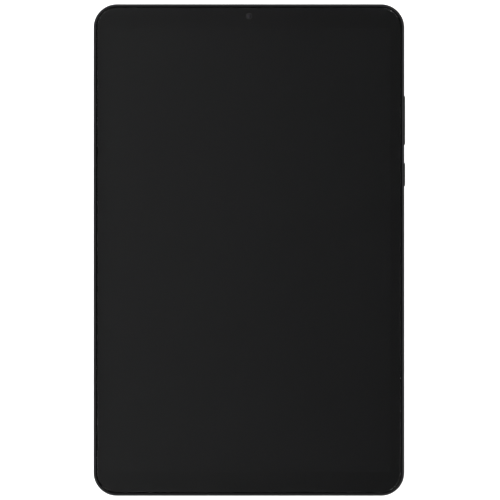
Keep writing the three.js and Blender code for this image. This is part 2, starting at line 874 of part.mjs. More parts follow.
// A box behind the wall, with a round nose that stands in the hole of the wall.
const jackFrontY = wallY - jack.setback;
const jackNoseY = top - jackNose.recess;
add(
  "headphone_jack",
  cut(
    join(
      block(
        jackX - jack.width / 2,
        jackX + jack.width / 2,
        jackFrontY - jack.depth,
        jackFrontY,
        jack.z - jack.height / 2,
        jack.z + jack.height / 2,
      ),
      barAlongY(jackNose.radius, jackFrontY - 0.2, jackNoseY, jackX, jack.z, 24),
    ),
    barAlongY(jack.boreRadius, jackFrontY - jack.depth + jackEnd, top, jackX, jack.z, 24),
  ),
  finishes.blackPlastic,
);

// A closed speaker box with a slot facing its row of holes.
function speakerBox(side) {
  const outerX = side * (right - speaker.fromSide);
  const innerX = outerX - side * speaker.width;
  const front = -wallY + speaker.wallGap;
  const rowX = side * speakerRowX;
  const slotHalf = ((speakerHole.count - 1) * speakerHole.pitch) / 2 + speakerHole.radius;
  return cut(
    block(
      Math.min(outerX, innerX),
      Math.max(outerX, innerX),
      front,
      front + speaker.depth,
      battery.z,
      battery.z + speaker.height,
    ),
    block(rowX - slotHalf, rowX + slotHalf, front - 1, front + 4, sideZ - 0.7, sideZ + 0.6),
  );
}

for (const [name, side] of [
  ["left", -1],
  ["right", 1],
]) {
  add(name + "_speaker", speakerBox(side), finishes.blackPlastic);
  const half = ((speakerHole.count - 1) * speakerHole.pitch) / 2 + speakerHole.radius + speakerMesh.margin;
  add(
    name + "_speaker_mesh",
    block(
      side * speakerRowX - half,
      side * speakerRowX + half,
      -wallY + 0.05,
      -wallY + 0.05 + speakerMesh.thickness,
      sideZ - speakerMesh.height / 2,
      sideZ + speakerMesh.height / 2,
    ),
    finishes.darkSteel,
  );
}

// A microphone against the wall behind its hole. end is 1 at the top edge and -1 at the bottom edge.
function microphoneCan(x, end) {
  const near = end * (wallY - 0.1);
  const deep = near - end * microphone.depth;
  return block(
    x - microphone.width / 2,
    x + microphone.width / 2,
    Math.min(near, deep),
    Math.max(near, deep),
    sideZ - microphone.height / 2,
    sideZ + microphone.height / 2,
  );
}
add("top_microphone", microphoneCan(topMicrophoneX, 1), finishes.tin);
add("bottom_microphone", microphoneCan(bottomMicrophoneX, -1), finishes.tin);

add(
  "vibration_motor",
  barAlongZ(motor.radius, battery.z, battery.z + motor.height, motor.x, -top + motor.fromBottom, 24),
  finishes.steel,
);

// ---------------------------------------------------------------------------------------------------------
// Cameras
// ---------------------------------------------------------------------------------------------------------

const frontBarrelTop = maskZ - 0.05;
const lensWell = 0.3;
add(
  "front_camera",
  cut(
    join(
      block(
        -frontCamera.module / 2,
        frontCamera.module / 2,
        frontCameraY - frontCamera.module / 2,
        frontCameraY + frontCamera.module / 2,
        boardTopZ,
        backlightZ,
      ),
      barAlongZ(frontCamera.barrelRadius, backlightZ - 0.1, frontBarrelTop, 0, frontCameraY, 24),
    ),
    barAlongZ(frontCamera.lensRadius + 0.05, frontBarrelTop - lensWell, far, 0, frontCameraY, 20),
  ),
  finishes.blackPlastic,
);
add(
  "front_camera_lens",
  barAlongZ(
    frontCamera.lensRadius,
    frontBarrelTop - lensWell + 0.02,
    frontBarrelTop - 0.05,
    0,
    frontCameraY,
    20,
  ),
  finishes.lens,
);

const ringDepth = coverFloor - 0.05;
const ringInner = rearRing.radius - rearRing.width;
add(
  "rear_camera_ring",
  cut(
    barAlongZ(rearRing.radius, 0, ringDepth, rearCameraX, rearCameraY, 32),
    barAlongZ(ringInner, -1, ringDepth + 1, rearCameraX, rearCameraY, 32),
  ),
  finishes.anodised,
);
add(
  "rear_camera_window",
  barAlongZ(
    ringInner - 0.05,
    rearWindowRecess,
    rearWindowRecess + rearWindowThickness,
    rearCameraX,
    rearCameraY,
    32,
  ),
  finishes.lens,
);
add(
  "rear_camera",
  join(
    barAlongZ(rearCamera.barrelRadius, coverFloor, coverFloor + 0.6, rearCameraX, rearCameraY, 24),
    block(
      rearCameraX - rearCamera.module / 2,
      rearCameraX + rearCamera.module / 2,
      rearCameraY - rearCamera.module / 2,
      rearCameraY + rearCamera.module / 2,
      coverFloor + 0.5,
      midPlateZ - 0.2,
    ),
  ),
  finishes.blackPlastic,
);

// ---------------------------------------------------------------------------------------------------------
// Screws, flex and antenna
// ---------------------------------------------------------------------------------------------------------

screwPlaces.forEach(([x, y], i) => {
  const headTop = boardZ - 0.03;
  const head = barAlongZ(screw.headRadius, headTop - screw.headHeight, headTop, x, y, 12);
  const shank = barAlongZ(screw.shankRadius, headTop - 0.1, headTop + screw.length, x, y, 10);
  add("screw_" + (i + 1), join(head, shank), finishes.steel);
});

// Joins the two boards, over the top of the battery.
const overBatteryZ = battery.z + batteryThickness + 0.1;
const mainFlexLine = [
  [subBoardBottom + subBoard.depth - 8, boardTopZ + 0.2],
  [subBoardBottom + subBoard.depth - 2, boardTopZ + 0.2],
  [batteryBottom - 2, overBatteryZ],
  [batteryTop + 4.5, overBatteryZ],
  [mainBoardBottom - 0.5, boardTopZ + 0.2],
  [mainBoardBottom + 2.5, boardTopZ + 0.2],
];
add("main_flex", ribbon(mainFlexLine, 0.12, -14, -4), finishes.polyimide);

add(
  "wifi_antenna",
  block(-36, -8, mainBoardTop + 0.4, wallY - 0.3, coverFloor + 0.6, midPlateZ - 0.2),
  finishes.foil,
);

// A thin coaxial lead between the boards, in the gap beside the battery.
const coaxRadius = 0.4;
const coaxZ = boardTopZ + coaxRadius + 0.1;
const coaxX = -(batteryX + wallX) / 2;
const coaxLine = new THREE.CatmullRomCurve3(
  [
    [-subBoard.width / 2 + 6, subBoardBottom + 12],
    [-subBoard.width / 2 - 6, subBoardBottom + 17],
    [coaxX + 5, subBoardBottom + 21],
    [coaxX, batteryBottom + 6],
    [coaxX, (batteryBottom + batteryTop) / 2],
    [coaxX, batteryTop - 6],
    [coaxX, mainBoardBottom + 0.5],
  ].map(([x, y]) => new THREE.Vector3(x, y, coaxZ)),
);
const coaxSection = new THREE.Shape();
coaxSection.absarc(0, 0, coaxRadius, 0, 2 * Math.PI);
add(
  "coax_cable",
  solid(
    new THREE.ExtrudeGeometry(coaxSection, { extrudePath: coaxLine, steps: 24, curveSegments: 3 }),
  ),
  finishes.blackPlastic,
);

export default tablet;
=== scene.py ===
# %% [markdown]
# # A tablet computer, from its engineering model to a finished picture
#
# The engineering model holds every solid piece in its real size and place. This lesson loads it as a fixed
# frame and gives it the surfaces a person sees: a glass front with a softly rounded edge, a bead-blasted
# metal back, keys with eased edges, ports with a fine chamfer, and boards that look like boards.
# Lengths are in metres, because that is Blender's unit. Sizes are read from the frame wherever it has them.

import math

import bmesh
import bpy
import numpy as np
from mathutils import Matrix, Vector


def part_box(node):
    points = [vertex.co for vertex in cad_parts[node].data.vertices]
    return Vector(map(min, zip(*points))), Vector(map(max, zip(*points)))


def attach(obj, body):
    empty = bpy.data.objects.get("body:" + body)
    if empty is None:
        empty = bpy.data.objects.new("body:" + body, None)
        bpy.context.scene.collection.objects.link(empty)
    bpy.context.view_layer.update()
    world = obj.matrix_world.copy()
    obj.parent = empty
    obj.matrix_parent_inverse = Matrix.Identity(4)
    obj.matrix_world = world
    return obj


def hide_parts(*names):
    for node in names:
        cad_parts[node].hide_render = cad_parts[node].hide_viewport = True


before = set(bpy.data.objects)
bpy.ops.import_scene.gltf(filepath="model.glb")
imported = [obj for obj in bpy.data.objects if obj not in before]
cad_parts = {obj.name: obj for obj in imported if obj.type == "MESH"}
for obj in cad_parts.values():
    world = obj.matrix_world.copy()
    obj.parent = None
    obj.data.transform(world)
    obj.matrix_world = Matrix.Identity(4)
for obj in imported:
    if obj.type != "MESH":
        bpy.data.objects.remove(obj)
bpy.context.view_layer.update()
MM = 0.001

glass_low, glass_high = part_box("cover_glass")
cover_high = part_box("back_cover")[1]
cap_low, cap_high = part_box("antenna_cap")
half_width = cover_high.x
half_height = cap_high.y
front_z = glass_high.z
print("body", [round(size / MM, 2) for size in (2 * half_width, 2 * half_height, front_z)], "mm")

# %% [markdown]
# ## Camera
#
# A product is often drawn straight from the front, with no perspective to speak of. A long lens far away
# gives that: the camera hangs a metre and a half over the middle of the screen, with the top edge of the
# tablet at the top of the picture. The lens follows from the width that should fill the frame.

# %% Camera over the screen
def put_in_scene(name, data):
    """An object that holds data, linked to the scene."""
    item = bpy.data.objects.new(name, data)
    bpy.context.scene.collection.objects.link(item)
    return item


camera_height = 1.5
camera_shift = 0.00043
view_width = 0.2032
sensor_width = 0.036

camera_data = bpy.data.cameras.new("front_camera_view")
camera_data.sensor_width = sensor_width * 1000
camera_data.lens = 1000 * sensor_width * camera_height / view_width
camera_data.clip_start = 0.01
camera_data.clip_end = 50
camera = put_in_scene("front_camera_view", camera_data)
camera.location = (camera_shift, 0.0, front_z + camera_height)
bpy.context.scene.camera = camera
print("lens", round(camera_data.lens, 1), "mm")

# %% [markdown]
# ## Light
#
# A dark glossy slab shows what it reflects, so the light is arranged round that. Four large soft boxes stand
# well out to the sides, where the camera over the screen can't see them in the glass. They make the floor
# white and put a soft line on every rounded edge. The sky right above is dim, a little brighter to one side,
# so that the glass stays nearly black with a slow gradient across it.

# %% Small helpers that add a shader node and wire it
def add_node(tree, kind, inputs=None, **settings):
    """Adds one node. inputs maps a socket's name or number to a value or to another node's output."""
    made = tree.nodes.new(kind)
    for name, value in settings.items():
        setattr(made, name, value)
    for name, value in (inputs or {}).items():
        if isinstance(value, bpy.types.NodeSocket):
            tree.links.new(value, made.inputs[name])
        else:
            made.inputs[name].default_value = value
    return made


def add_math(tree, operation, first, second=0.0, third=0.0, clamp=False):
    """One Math node; returns its output."""
    made = add_node(tree, "ShaderNodeMath", {0: first, 1: second, 2: third}, operation=operation)
    made.use_clamp = clamp
    return made.outputs[0]


def ramp(tree, value, start, end, low=0.0, high=1.0, **settings):
    """A number that goes from low to high while value goes from start to end, and stays there."""
    sockets = {"Value": value, 1: start, 2: end, 3: low, 4: high}
    return add_node(tree, "ShaderNodeMapRange", sockets, **settings).outputs[0]


# %% Soft boxes round the tablet
def add_soft_box(name, azimuth, elevation, distance, size, watts):
    """A square area light on a sphere round the tablet, turned to face its middle."""
    turn = math.radians(azimuth)
    rise = math.radians(elevation)
    light = bpy.data.lights.new(name, "AREA")
    light.shape = "SQUARE"
    light.size = size
    light.energy = watts
    box = put_in_scene(name, light)
    box.location = (
        distance * math.cos(rise) * math.cos(turn),
        distance * math.cos(rise) * math.sin(turn),
        distance * math.sin(rise),
    )
    box.rotation_euler = (math.pi / 2 - rise, 0, turn + math.pi / 2)


for box_name, box_azimuth, box_watts in (
    ("soft_box_top_left", 125, 5.0),
    ("soft_box_top_right", 55, 3.6),
    ("soft_box_bottom_left", 215, 4.2),
    ("soft_box_bottom_right", 325, 3.0),
):
    add_soft_box(box_name, box_azimuth, elevation=48, distance=1.1, size=0.6, watts=box_watts)

# %% Sky: bright low down, dim overhead, with a slow slope from left to right overhead
world = bpy.data.worlds.new("studio")
bpy.context.scene.world = world
world.use_nodes = True
sky = world.node_tree
sky.nodes.clear()

direction = add_node(sky, "ShaderNodeTexCoord").outputs["Generated"]
parts = add_node(sky, "ShaderNodeSeparateXYZ", {0: direction})
by_height = ramp(sky, parts.outputs["Z"], 0.0, 0.93, 0.62, 0.0, interpolation_type="SMOOTHSTEP")
by_side = ramp(sky, parts.outputs["X"], -0.1, 0.1, 0.247, 0.009)
seen_sky = add_math(sky, "ADD", by_height, by_side)
is_camera = add_node(sky, "ShaderNodeLightPath").outputs["Is Camera Ray"]
strength = add_node(
    sky, "ShaderNodeMix", {"Factor": is_camera, "A": seen_sky, "B": 1.0}, data_type="FLOAT"
).outputs[0]
background = add_node(sky, "ShaderNodeBackground", {"Color": (1.0, 1.0, 1.0, 1.0), "Strength": strength})
add_node(sky, "ShaderNodeOutputWorld", {"Surface": background.outputs[0]})
bpy.context.scene.view_settings.view_transform = "Standard"
bpy.context.scene.view_settings.look = "None"

# %% [markdown]
# ## Shapes as formulas
#
# Nearly everything on a tablet is a rounded rectangle carried along a depth: the body, the glass, a key, a
# port, even a round camera ring, which is a rounded rectangle whose sides have no straight part. So one
# function makes them all. It takes a profile, rows of (inset, depth), and carries it round the outline.

# %% The outline and the profile carried round it
def outline(half_u, half_v, corner, steps):
    """Rounded rectangles as an array (rows, points, 2).

    Each point is a corner's centre plus corner times (cos t, sin t), where t runs through a quarter turn at
    each of the four corners. half_u, half_v and corner are arrays with one value for each row.
    """
    quarter = np.repeat(np.arange(4), steps + 1)
    turn = (quarter + np.tile(np.linspace(0, 1, steps + 1), 4)) * math.pi / 2
    sign_u = np.where((quarter == 0) | (quarter == 3), 1.0, -1.0)
    sign_v = np.where(quarter < 2, 1.0, -1.0)
    u = sign_u * (half_u - corner)[:, None] + corner[:, None] * np.cos(turn)
    v = sign_v * (half_v - corner)[:, None] + corner[:, None] * np.sin(turn)
    return np.stack([u, v], -1)


def carry(profile, half_u, half_v, corner, middle=(0.0, 0.0), axes="xyz", steps=16):
    """A profile of (inset, depth) rows carried round a rounded rectangle, as points (rows, points, 3).

    axes says which of x, y and z the outline's u and v and the depth lie along. All in millimetres.
    """
    inset, depth = np.array(profile, float).T
    tight = np.maximum(corner - inset, 0.002)
    ring = outline(half_u - inset, half_v - inset, tight, steps) + np.array(middle)
    placed = np.zeros((*ring.shape[:2], 3))
    placed[..., "xyz".index(axes[0])] = ring[..., 0]
    placed[..., "xyz".index(axes[1])] = ring[..., 1]
    placed[..., "xyz".index(axes[2])] = depth[:, None]
    return placed


def quarter_round(inset, depth, radius_u, radius_v, start, end, count=6):
    """Rows on a quarter circle: (inset + radius_u cos t, depth + radius_v sin t), t in degrees."""
    t = np.radians(np.linspace(start, end, count + 1))
    return np.c_[inset + radius_u * np.cos(t), depth + radius_v * np.sin(t)].tolist()


# %% From points to a closed mesh
MERGE_WITHIN = 2e-7  # metres, far below any real feature


def closed_mesh(name, points, faces):
    """A mesh object from points in millimetres. Points in one place merge, and faces turn outwards."""
    mesh = bpy.data.meshes.new(name)
    mesh.from_pydata((points * MM).tolist(), [], faces)
    made = bmesh.new()
    made.from_mesh(mesh)
    bmesh.ops.remove_doubles(made, verts=made.verts, dist=MERGE_WITHIN)
    bmesh.ops.recalc_face_normals(made, faces=made.faces)
    made.to_mesh(mesh)
    made.free()
    return put_in_scene(name, mesh)


def mesh_of(name, grids, ring=False):
    """One mesh object from grids of points: quads between rows, and a flat cap on each open end.

    With ring set, the last row joins the first, as in a gasket, and there are no caps.
    """
    points, faces, start = [], [], 0
    for grid in grids:
        rows, count = grid.shape[:2]
        index = start + np.arange(rows * count).reshape(rows, count)
        after = np.roll(index, -1, axis=1)
        low = index if ring else index[:-1]
        quads = np.stack(
            [low, np.roll(low, -1, axis=1), np.roll(after, -1, axis=0)[: len(low)],
             np.roll(index, -1, axis=0)[: len(low)]],
            -1,
        )
        faces += quads.reshape(-1, 4).tolist()
        if not ring:
            faces += [index[0].tolist(), index[-1].tolist()]
        points.append(grid.reshape(-1, 3))
        start += rows * count
    return closed_mesh(name, np.concatenate(points), faces)


def carried(name, *shape, ring=False, **more):
    """One profile carried round an outline, as a mesh object. shape and more are what carry takes."""
    return mesh_of(name, [carry(*shape, **more)], ring)


# %% Cutting, joining and smoothing
def apply_modifiers(piece):
    """Replaces the piece's mesh with its mesh as seen, and drops its modifiers."""
    graph = bpy.context.evaluated_depsgraph_get()
    seen = bpy.data.meshes.new_from_object(piece.evaluated_get(graph))
    piece.modifiers.clear()
    piece.data = seen
    return piece


def combine(piece, tool, operation):
    """Cuts tool out of piece (DIFFERENCE), keeps what both hold (INTERSECT), or joins them (UNION)."""
    step = piece.modifiers.new("combine", "BOOLEAN")
    step.object = tool
    step.operation = operation
    step.solver = "EXACT"
    apply_modifiers(piece)
    bpy.data.objects.remove(tool)
    return piece


def smooth(piece, sharp_degrees=32):
    """Smooth shading that keeps real edges crisp and flat faces flat."""
    piece.data.shade_smooth()
    piece.data.set_sharp_from_angle(angle=math.radians(sharp_degrees))
    even = piece.modifiers.new("even_normals", "WEIGHTED_NORMAL")
    even.keep_sharp = True
    even.weight = 80
    return piece


def finish_piece(piece, material, nodes, body="casing"):
    """Gives a piece its material, the nodes it stands for and the body it moves with."""
    piece.data.materials.clear()
    piece.data.materials.append(material)
    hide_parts(*nodes)
    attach(piece, body)
    print(piece.name, len(piece.data.polygons), "faces")
    return piece


# %% [markdown]
# ## Surface effects shared by several finishes
#
# Three effects come back on many pieces, so each is a node group. Bead blasting leaves a skin of fine
# dimples, which scatter light a little. Handling rubs the outermost edges, so they are slightly lighter and
# smoother. Skin grease makes large soft patches that only show as a change of gloss.

# %% Helpers that start a shader group and add a noise
def start_group(name, inputs, outputs):
    """An empty shader group with named sockets; returns the tree and its input and output nodes."""
    group = bpy.data.node_groups.new(name, "ShaderNodeTree")
    for label, kind, value in inputs:
        socket = group.interface.new_socket(name=label, in_out="INPUT", socket_type="NodeSocket" + kind)
        if value is not None:
            socket.default_value = value
    for label, kind in outputs:
        group.interface.new_socket(name=label, in_out="OUTPUT", socket_type="NodeSocket" + kind)
    return group, group.nodes.new("NodeGroupInput"), group.nodes.new("NodeGroupOutput")


def noise(tree, vector, scale, detail, **more):
    """The value of a noise texture. more sets its Roughness or its Distortion."""
    sockets = {"Vector": vector, "Scale": scale, "Detail": detail, **more}
    return add_node(tree, "ShaderNodeTexNoise", sockets).outputs[0]


# %% Bead blasting: two sizes of dimple
blasting, blast_in, blast_out = start_group(
    "bead_blasting",
    [("Vector", "Vector", None), ("Grains per metre", "Float", 7000.0)],
    [("Height", "Float"), ("Fleck", "Float")],
)
fine_grain = noise(blasting, blast_in.outputs[0], blast_in.outputs[1], 2.0, Roughness=0.6)
broad_scale = add_math(blasting, "MULTIPLY", blast_in.outputs[1], 0.11)
broad_grain = noise(blasting, blast_in.outputs[0], broad_scale, 3.0, Roughness=0.5)
grain_mix = add_math(blasting, "MULTIPLY_ADD", broad_grain, 0.35, fine_grain)
blasting.links.new(grain_mix, blast_out.inputs["Height"])
blasting.links.new(ramp(blasting, grain_mix, 0.5, 0.86), blast_out.inputs["Fleck"])

# %% Handling: how near a point is to the body's outline, broken up by noise
rubbing, rub_in, rub_out = start_group(
    "edge_rubbing",
    [
        ("Vector", "Vector", None),
        ("Half width", "Float", half_width),
        ("Half height", "Float", half_height),
        ("Corner", "Float", 0.0094),
        ("Reach", "Float", 0.0012),
    ],
    [("Rub", "Float"), ("Inside", "Float")],
)
spot = add_node(rubbing, "ShaderNodeSeparateXYZ", {0: rub_in.outputs[0]})
overhangs = []
for axis, half in (("X", 1), ("Y", 2)):
    from_middle = add_math(rubbing, "ABSOLUTE", spot.outputs[axis])
    straight = add_math(rubbing, "SUBTRACT", rub_in.outputs[half], rub_in.outputs[3])
    past = add_math(rubbing, "SUBTRACT", from_middle, straight)
    kept = add_math(rubbing, "MAXIMUM", past, 0.0)
    overhangs.append(add_math(rubbing, "POWER", kept, 2.0))
reach_out = add_math(rubbing, "SQRT", add_math(rubbing, "ADD", *overhangs))
inside_edge = add_math(rubbing, "SUBTRACT", rub_in.outputs[3], reach_out)
nearness = ramp(rubbing, inside_edge, rub_in.outputs[4], 0.0, interpolation_type="SMOOTHSTEP")
patchy = ramp(rubbing, noise(rubbing, rub_in.outputs[0], 160.0, 5.0), 0.38, 0.72)
rub = add_math(rubbing, "MULTIPLY", nearness, patchy, clamp=True)
rubbing.links.new(rub, rub_out.inputs["Rub"])
rubbing.links.new(inside_edge, rub_out.inputs["Inside"])

# %% Skin grease: large soft patches with a finer smear in them
grease, grease_in, grease_out = start_group(
    "skin_grease",
    [("Vector", "Vector", None), ("Patches per metre", "Float", 26.0)],
    [("Film", "Float")],
)
patch = noise(grease, grease_in.outputs[0], grease_in.outputs[1], 4.0, Distortion=0.6)
smear_scale = add_math(grease, "MULTIPLY", grease_in.outputs[1], 9.0)
smear = noise(grease, grease_in.outputs[0], smear_scale, 2.0, Distortion=1.5)
film = add_math(grease, "MULTIPLY", patch, smear)
grease.links.new(ramp(grease, film, 0.16, 0.42), grease_out.inputs["Film"])
print("groups", [g.name for g in bpy.data.node_groups])

# %% [markdown]
# ## Finishes
#
# A finish is one Principled shader whose colour, roughness and bump vary over the surface. The helper makes
# the shader, its Object coordinates and its output. Each finish then adds what is its own.

# %% Start a material, mix two colours, vary a number
def start_material(name, metallic=0.0, **plain):
    """A material with one Principled shader; returns the material, its tree, the shader and coordinates."""
    material = bpy.data.materials.new(name)
    material.use_nodes = True
    tree = material.node_tree
    tree.nodes.clear()
    shader = add_node(tree, "ShaderNodeBsdfPrincipled", {"Metallic": metallic})
    for label, value in plain.items():
        shader.inputs[label.replace("_", " ")].default_value = value
    add_node(tree, "ShaderNodeOutputMaterial", {"Surface": shader.outputs[0]})
    place = add_node(tree, "ShaderNodeTexCoord").outputs["Object"]
    return material, tree, shader, place


def blend_colours(tree, factor, dark, light):
    """A colour between dark and light by factor. dark may also be another node's colour."""
    first = dark if isinstance(dark, bpy.types.NodeSocket) else (*dark, 1.0)
    sockets = {"Factor": factor, 6: first, 7: (*light, 1.0)}
    return add_node(tree, "ShaderNodeMix", sockets, data_type="RGBA").outputs[2]


def vary(tree, value, low, high):
    """A number from low to high as value goes from 0 to 1."""
    return ramp(tree, value, 0.0, 1.0, low, high)


def dress(tree, shader, value, dark, light, rough_at_dark, rough_at_light):
    """One varying value drives both the shader's colour and its roughness."""
    tree.links.new(blend_colours(tree, value, dark, light), shader.inputs["Base Color"])
    tree.links.new(vary(tree, value, rough_at_dark, rough_at_light), shader.inputs["Roughness"])


def use_group(tree, group, inputs):
    """Places a group in a material."""
    return add_node(tree, "ShaderNodeGroup", inputs, node_tree=group)


def bump_from(tree, shader, height, depth):
    """Feeds a height into the shader's normal. depth is how deep the texture is, in metres."""
    bump = add_node(tree, "ShaderNodeBump", {"Height": height, "Distance": depth, "Strength": 1.0})
    tree.links.new(bump.outputs[0], shader.inputs["Normal"])


def clouded(name, scale, detail, dark, light, rough_at_dark, rough_at_light, **plain):
    """A material dressed by one soft noise; returns it, its tree, its shader and the noise."""
    material, tree, shader, place = start_material(name, **plain)
    cloud = noise(tree, place, scale, detail)
    dress(tree, shader, cloud, dark, light, rough_at_dark, rough_at_light)
    return material, tree, shader, cloud


# %% Blasted finishes: dark anodised metal, and the plastics that match it
def blasted(name, dark, light, rough_low, rough_high, metallic, grains, depth, rub_gain=0.3, shine=0.5):
    """A blasted skin: dimples in the bump, flecks in colour and roughness, lighter where hands rub it."""
    material, tree, shader, place = start_material(name, metallic, Specular_IOR_Level=shine)
    skin = use_group(tree, blasting, {"Vector": place, "Grains per metre": grains})
    worn = use_group(tree, rubbing, {"Vector": place})
    held = use_group(tree, grease, {"Vector": place})
    rubbed = add_math(tree, "MULTIPLY", worn.outputs["Rub"], rub_gain)
    lightness = add_math(tree, "MULTIPLY_ADD", skin.outputs["Fleck"], 0.7, rubbed, clamp=True)
    tree.links.new(blend_colours(tree, lightness, dark, light), shader.inputs["Base Color"])
    film_gloss = add_math(tree, "MULTIPLY", held.outputs["Film"], 0.35)
    polish = add_math(tree, "ADD", add_math(tree, "MULTIPLY", skin.outputs["Fleck"], 0.5), film_gloss)
    tree.links.new(vary(tree, polish, rough_high, rough_low), shader.inputs["Roughness"])
    bump_from(tree, shader, skin.outputs["Height"], depth)
    return material


finish_back = blasted(
    "blasted_metal", (0.019, 0.0194, 0.021), (0.034, 0.0346, 0.037), 0.3, 0.42,
    metallic=0.85, grains=7000, depth=4e-6, rub_gain=0.12,
)
finish_cap = blasted(
    "matched_plastic", (0.013, 0.0133, 0.0143), (0.021, 0.0213, 0.0228), 0.38, 0.5,
    metallic=0.0, grains=5200, depth=6e-6,
)
finish_key = blasted(
    "key_metal", (0.0016, 0.0016, 0.0017), (0.006, 0.006, 0.0064), 0.34, 0.46,
    metallic=0.0, grains=7600, depth=3e-6, shine=0.08,
)

# %% The rim: a matt black moulding with a paler line painted along the middle of its top, a painted highlight where its top catches the light
finish_rim, rim_tree, rim_shader, rim_place = start_material("rim_plastic", Specular_IOR_Level=0.06)
rim_skin = use_group(rim_tree, blasting, {"Vector": rim_place, "Grains per metre": 6000.0})
rim_edge = use_group(rim_tree, rubbing, {"Vector": rim_place})
# Painted highlight: a paler band about 0.35 to 0.92 mm inside the outline, painted into the rim's colour
# where its top catches the light
highlight_band_rise = ramp(rim_tree, rim_edge.outputs["Inside"], 0.00035, 0.0005)
highlight_band_fall = ramp(rim_tree, rim_edge.outputs["Inside"], 0.00092, 0.00084)
painted_highlight_band = add_math(rim_tree, "MULTIPLY", highlight_band_rise, highlight_band_fall)
# The paler colour is mostly the painted highlight band, plus a little of the grain's flecks; roughness also
# drops along the band
tone = add_math(rim_tree, "MULTIPLY_ADD", rim_skin.outputs["Fleck"], 0.2, painted_highlight_band, clamp=True)
dress(rim_tree, rim_shader, tone, (0.0008, 0.0008, 0.0009), (0.027, 0.027, 0.028), 0.5, 0.36)
bump_from(rim_tree, rim_shader, rim_skin.outputs["Height"], 4e-6)
print("finishes", [m.name for m in bpy.data.materials])

# %% [markdown]
# ## The back: a thin tray with openings
#
# The back of the tablet is one pressed and milled tray: a flat floor, a rounded edge, and a low wall. It
# could be a subdivided box, but its corners must be true arcs, so a profile is carried round the outline
# instead. The openings are cut with small plugs that widen at the skin, which leaves the fine chamfer that a
# real port has. The last stretch at the top is a separate plastic cap, because aerials need plastic.

# %% Openings: plugs with a flared mouth
BODY_CORNER = 9.4
PLUG_DEPTH = 2.2
FLANGE_REACH = 0.7  # the hidden flange of a key reaches this much further than its cap
half_x, half_y = half_width / MM, half_height / MM
openings = []


def plug(half_u, half_v, corner, middle, axes, inside, skin, flare):
    """A plug from inside the wall to past its skin, wider by flare where it comes out."""
    out = 1.0 if skin > inside else -1.0
    past = 0.8
    rows = [(0.0, inside), (0.0, skin - out * flare), (-flare - past, skin + out * past)]
    return carry(rows, half_u, half_v, corner, middle, axes, steps=8)


def span(node, axis):
    """(middle, half length) of a node along x, y or z, in millimetres."""
    low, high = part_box(node)
    k = "xyz".index(axis)
    return (low[k] + high[k]) / 2 / MM, (high[k] - low[k]) / 2 / MM


port_z = span("usb_shell", "z")[0]


def open_wall(side, axis, along, half_long, half_tall, flare, height=port_z):
    """Adds a plug with round ends through the wall on one side (1 or -1) of the x or the y axis."""
    skin = side * (half_x if axis == "x" else half_y)
    axes = "yzx" if axis == "x" else "xzy"
    inside = skin - side * PLUG_DEPTH
    openings.append(plug(half_long, half_tall, half_tall, (along, height), axes, inside, skin, flare))


key_gap, tray_gap, port_gap = 0.12, 0.1, 0.08
for key_node in ("volume_rocker", "power_key"):
    key_y, key_half = span(key_node, "y")
    key_half -= FLANGE_REACH
    open_wall(1, "x", key_y, key_half + key_gap, span(key_node, "z")[1] + key_gap, 0.12)

tray_y, tray_half = span("card_tray", "y")
open_wall(-1, "x", tray_y, tray_half + tray_gap, span("card_tray", "z")[1] + tray_gap, 0.05)

usb_half, usb_tall = span("usb_shell", "x")[1], span("usb_shell", "z")[1]
open_wall(-1, "y", 0.0, usb_half + port_gap, usb_tall + port_gap, 0.14)

jack_x, jack_z, jack_hole = span("headphone_jack", "x")[0], 2.85, 2.05
open_wall(1, "y", jack_x, jack_hole, jack_hole, 0.1, jack_z)
microphone_hole = 0.5
for mic_node, mic_end in (("top_microphone", 1), ("bottom_microphone", -1)):
    open_wall(mic_end, "y", span(mic_node, "x")[0], microphone_hole, microphone_hole, 0.06)

speaker_hole, speaker_pitch = 0.65, 2.2
for grille_node in ("left_speaker_mesh", "right_speaker_mesh"):
    row_middle = span(grille_node, "x")[0]
    for hole_x in row_middle + speaker_pitch * (np.arange(6) - 2.5):
        open_wall(-1, "y", hole_x, speaker_hole, speaker_hole, 0.08)

eye_x, eye_radius = span("rear_camera_ring", "x")
eye_y = span("rear_camera_ring", "y")[0]
eye_hole = eye_radius + 0.05
openings.append(plug(eye_hole, eye_hole, eye_hole, (eye_x, eye_y), "xyz", 1.4, 0.0, 0.04))
print(len(openings), "openings")

# %% The tray: outside from the back face up, over the rim, and down the inside
WALL, FLOOR, BACK_ROUND, CAVITY_ROUND = 1.2, 0.8, 1.6, 0.8
rim_z = cover_high.z / MM
shell_profile = (
    [(BACK_ROUND + 1.0, 0.0), (BACK_ROUND + 0.05, 0.0)]
    + quarter_round(BACK_ROUND, BACK_ROUND, BACK_ROUND, BACK_ROUND, 270, 180, 12)
    + [(0.0, rim_z - 0.1), (0.03, rim_z - 0.03), (0.1, rim_z)]
    + [(WALL - 0.1, rim_z), (WALL, rim_z - 0.1), (WALL, FLOOR + CAVITY_ROUND)]
    + quarter_round(WALL + CAVITY_ROUND, FLOOR + CAVITY_ROUND, CAVITY_ROUND, CAVITY_ROUND, 180, 270, 6)[1:]
    + [(WALL + CAVITY_ROUND + 0.6, FLOOR)]
)
shell = carried("shell", shell_profile, half_x, half_y, BODY_CORNER, steps=28)
shell = combine(shell, mesh_of("plugs", openings), "DIFFERENCE")
print("shell", len(shell.data.polygons), "faces")

# %% Part the shell into the metal back and the plastic cap
BEYOND = 5  # how far the parting blocks stick out past the tablet


def slab_between(name, y_low, y_high):
    """A block wider than the tablet, between two places along y."""
    rows = [(0.0, -3.0), (0.0, 12.0)]
    middle = (0.0, (y_low + y_high) / 2)
    return carried(name, rows, half_x + BEYOND, (y_high - y_low) / 2, 0.01, middle, steps=1)


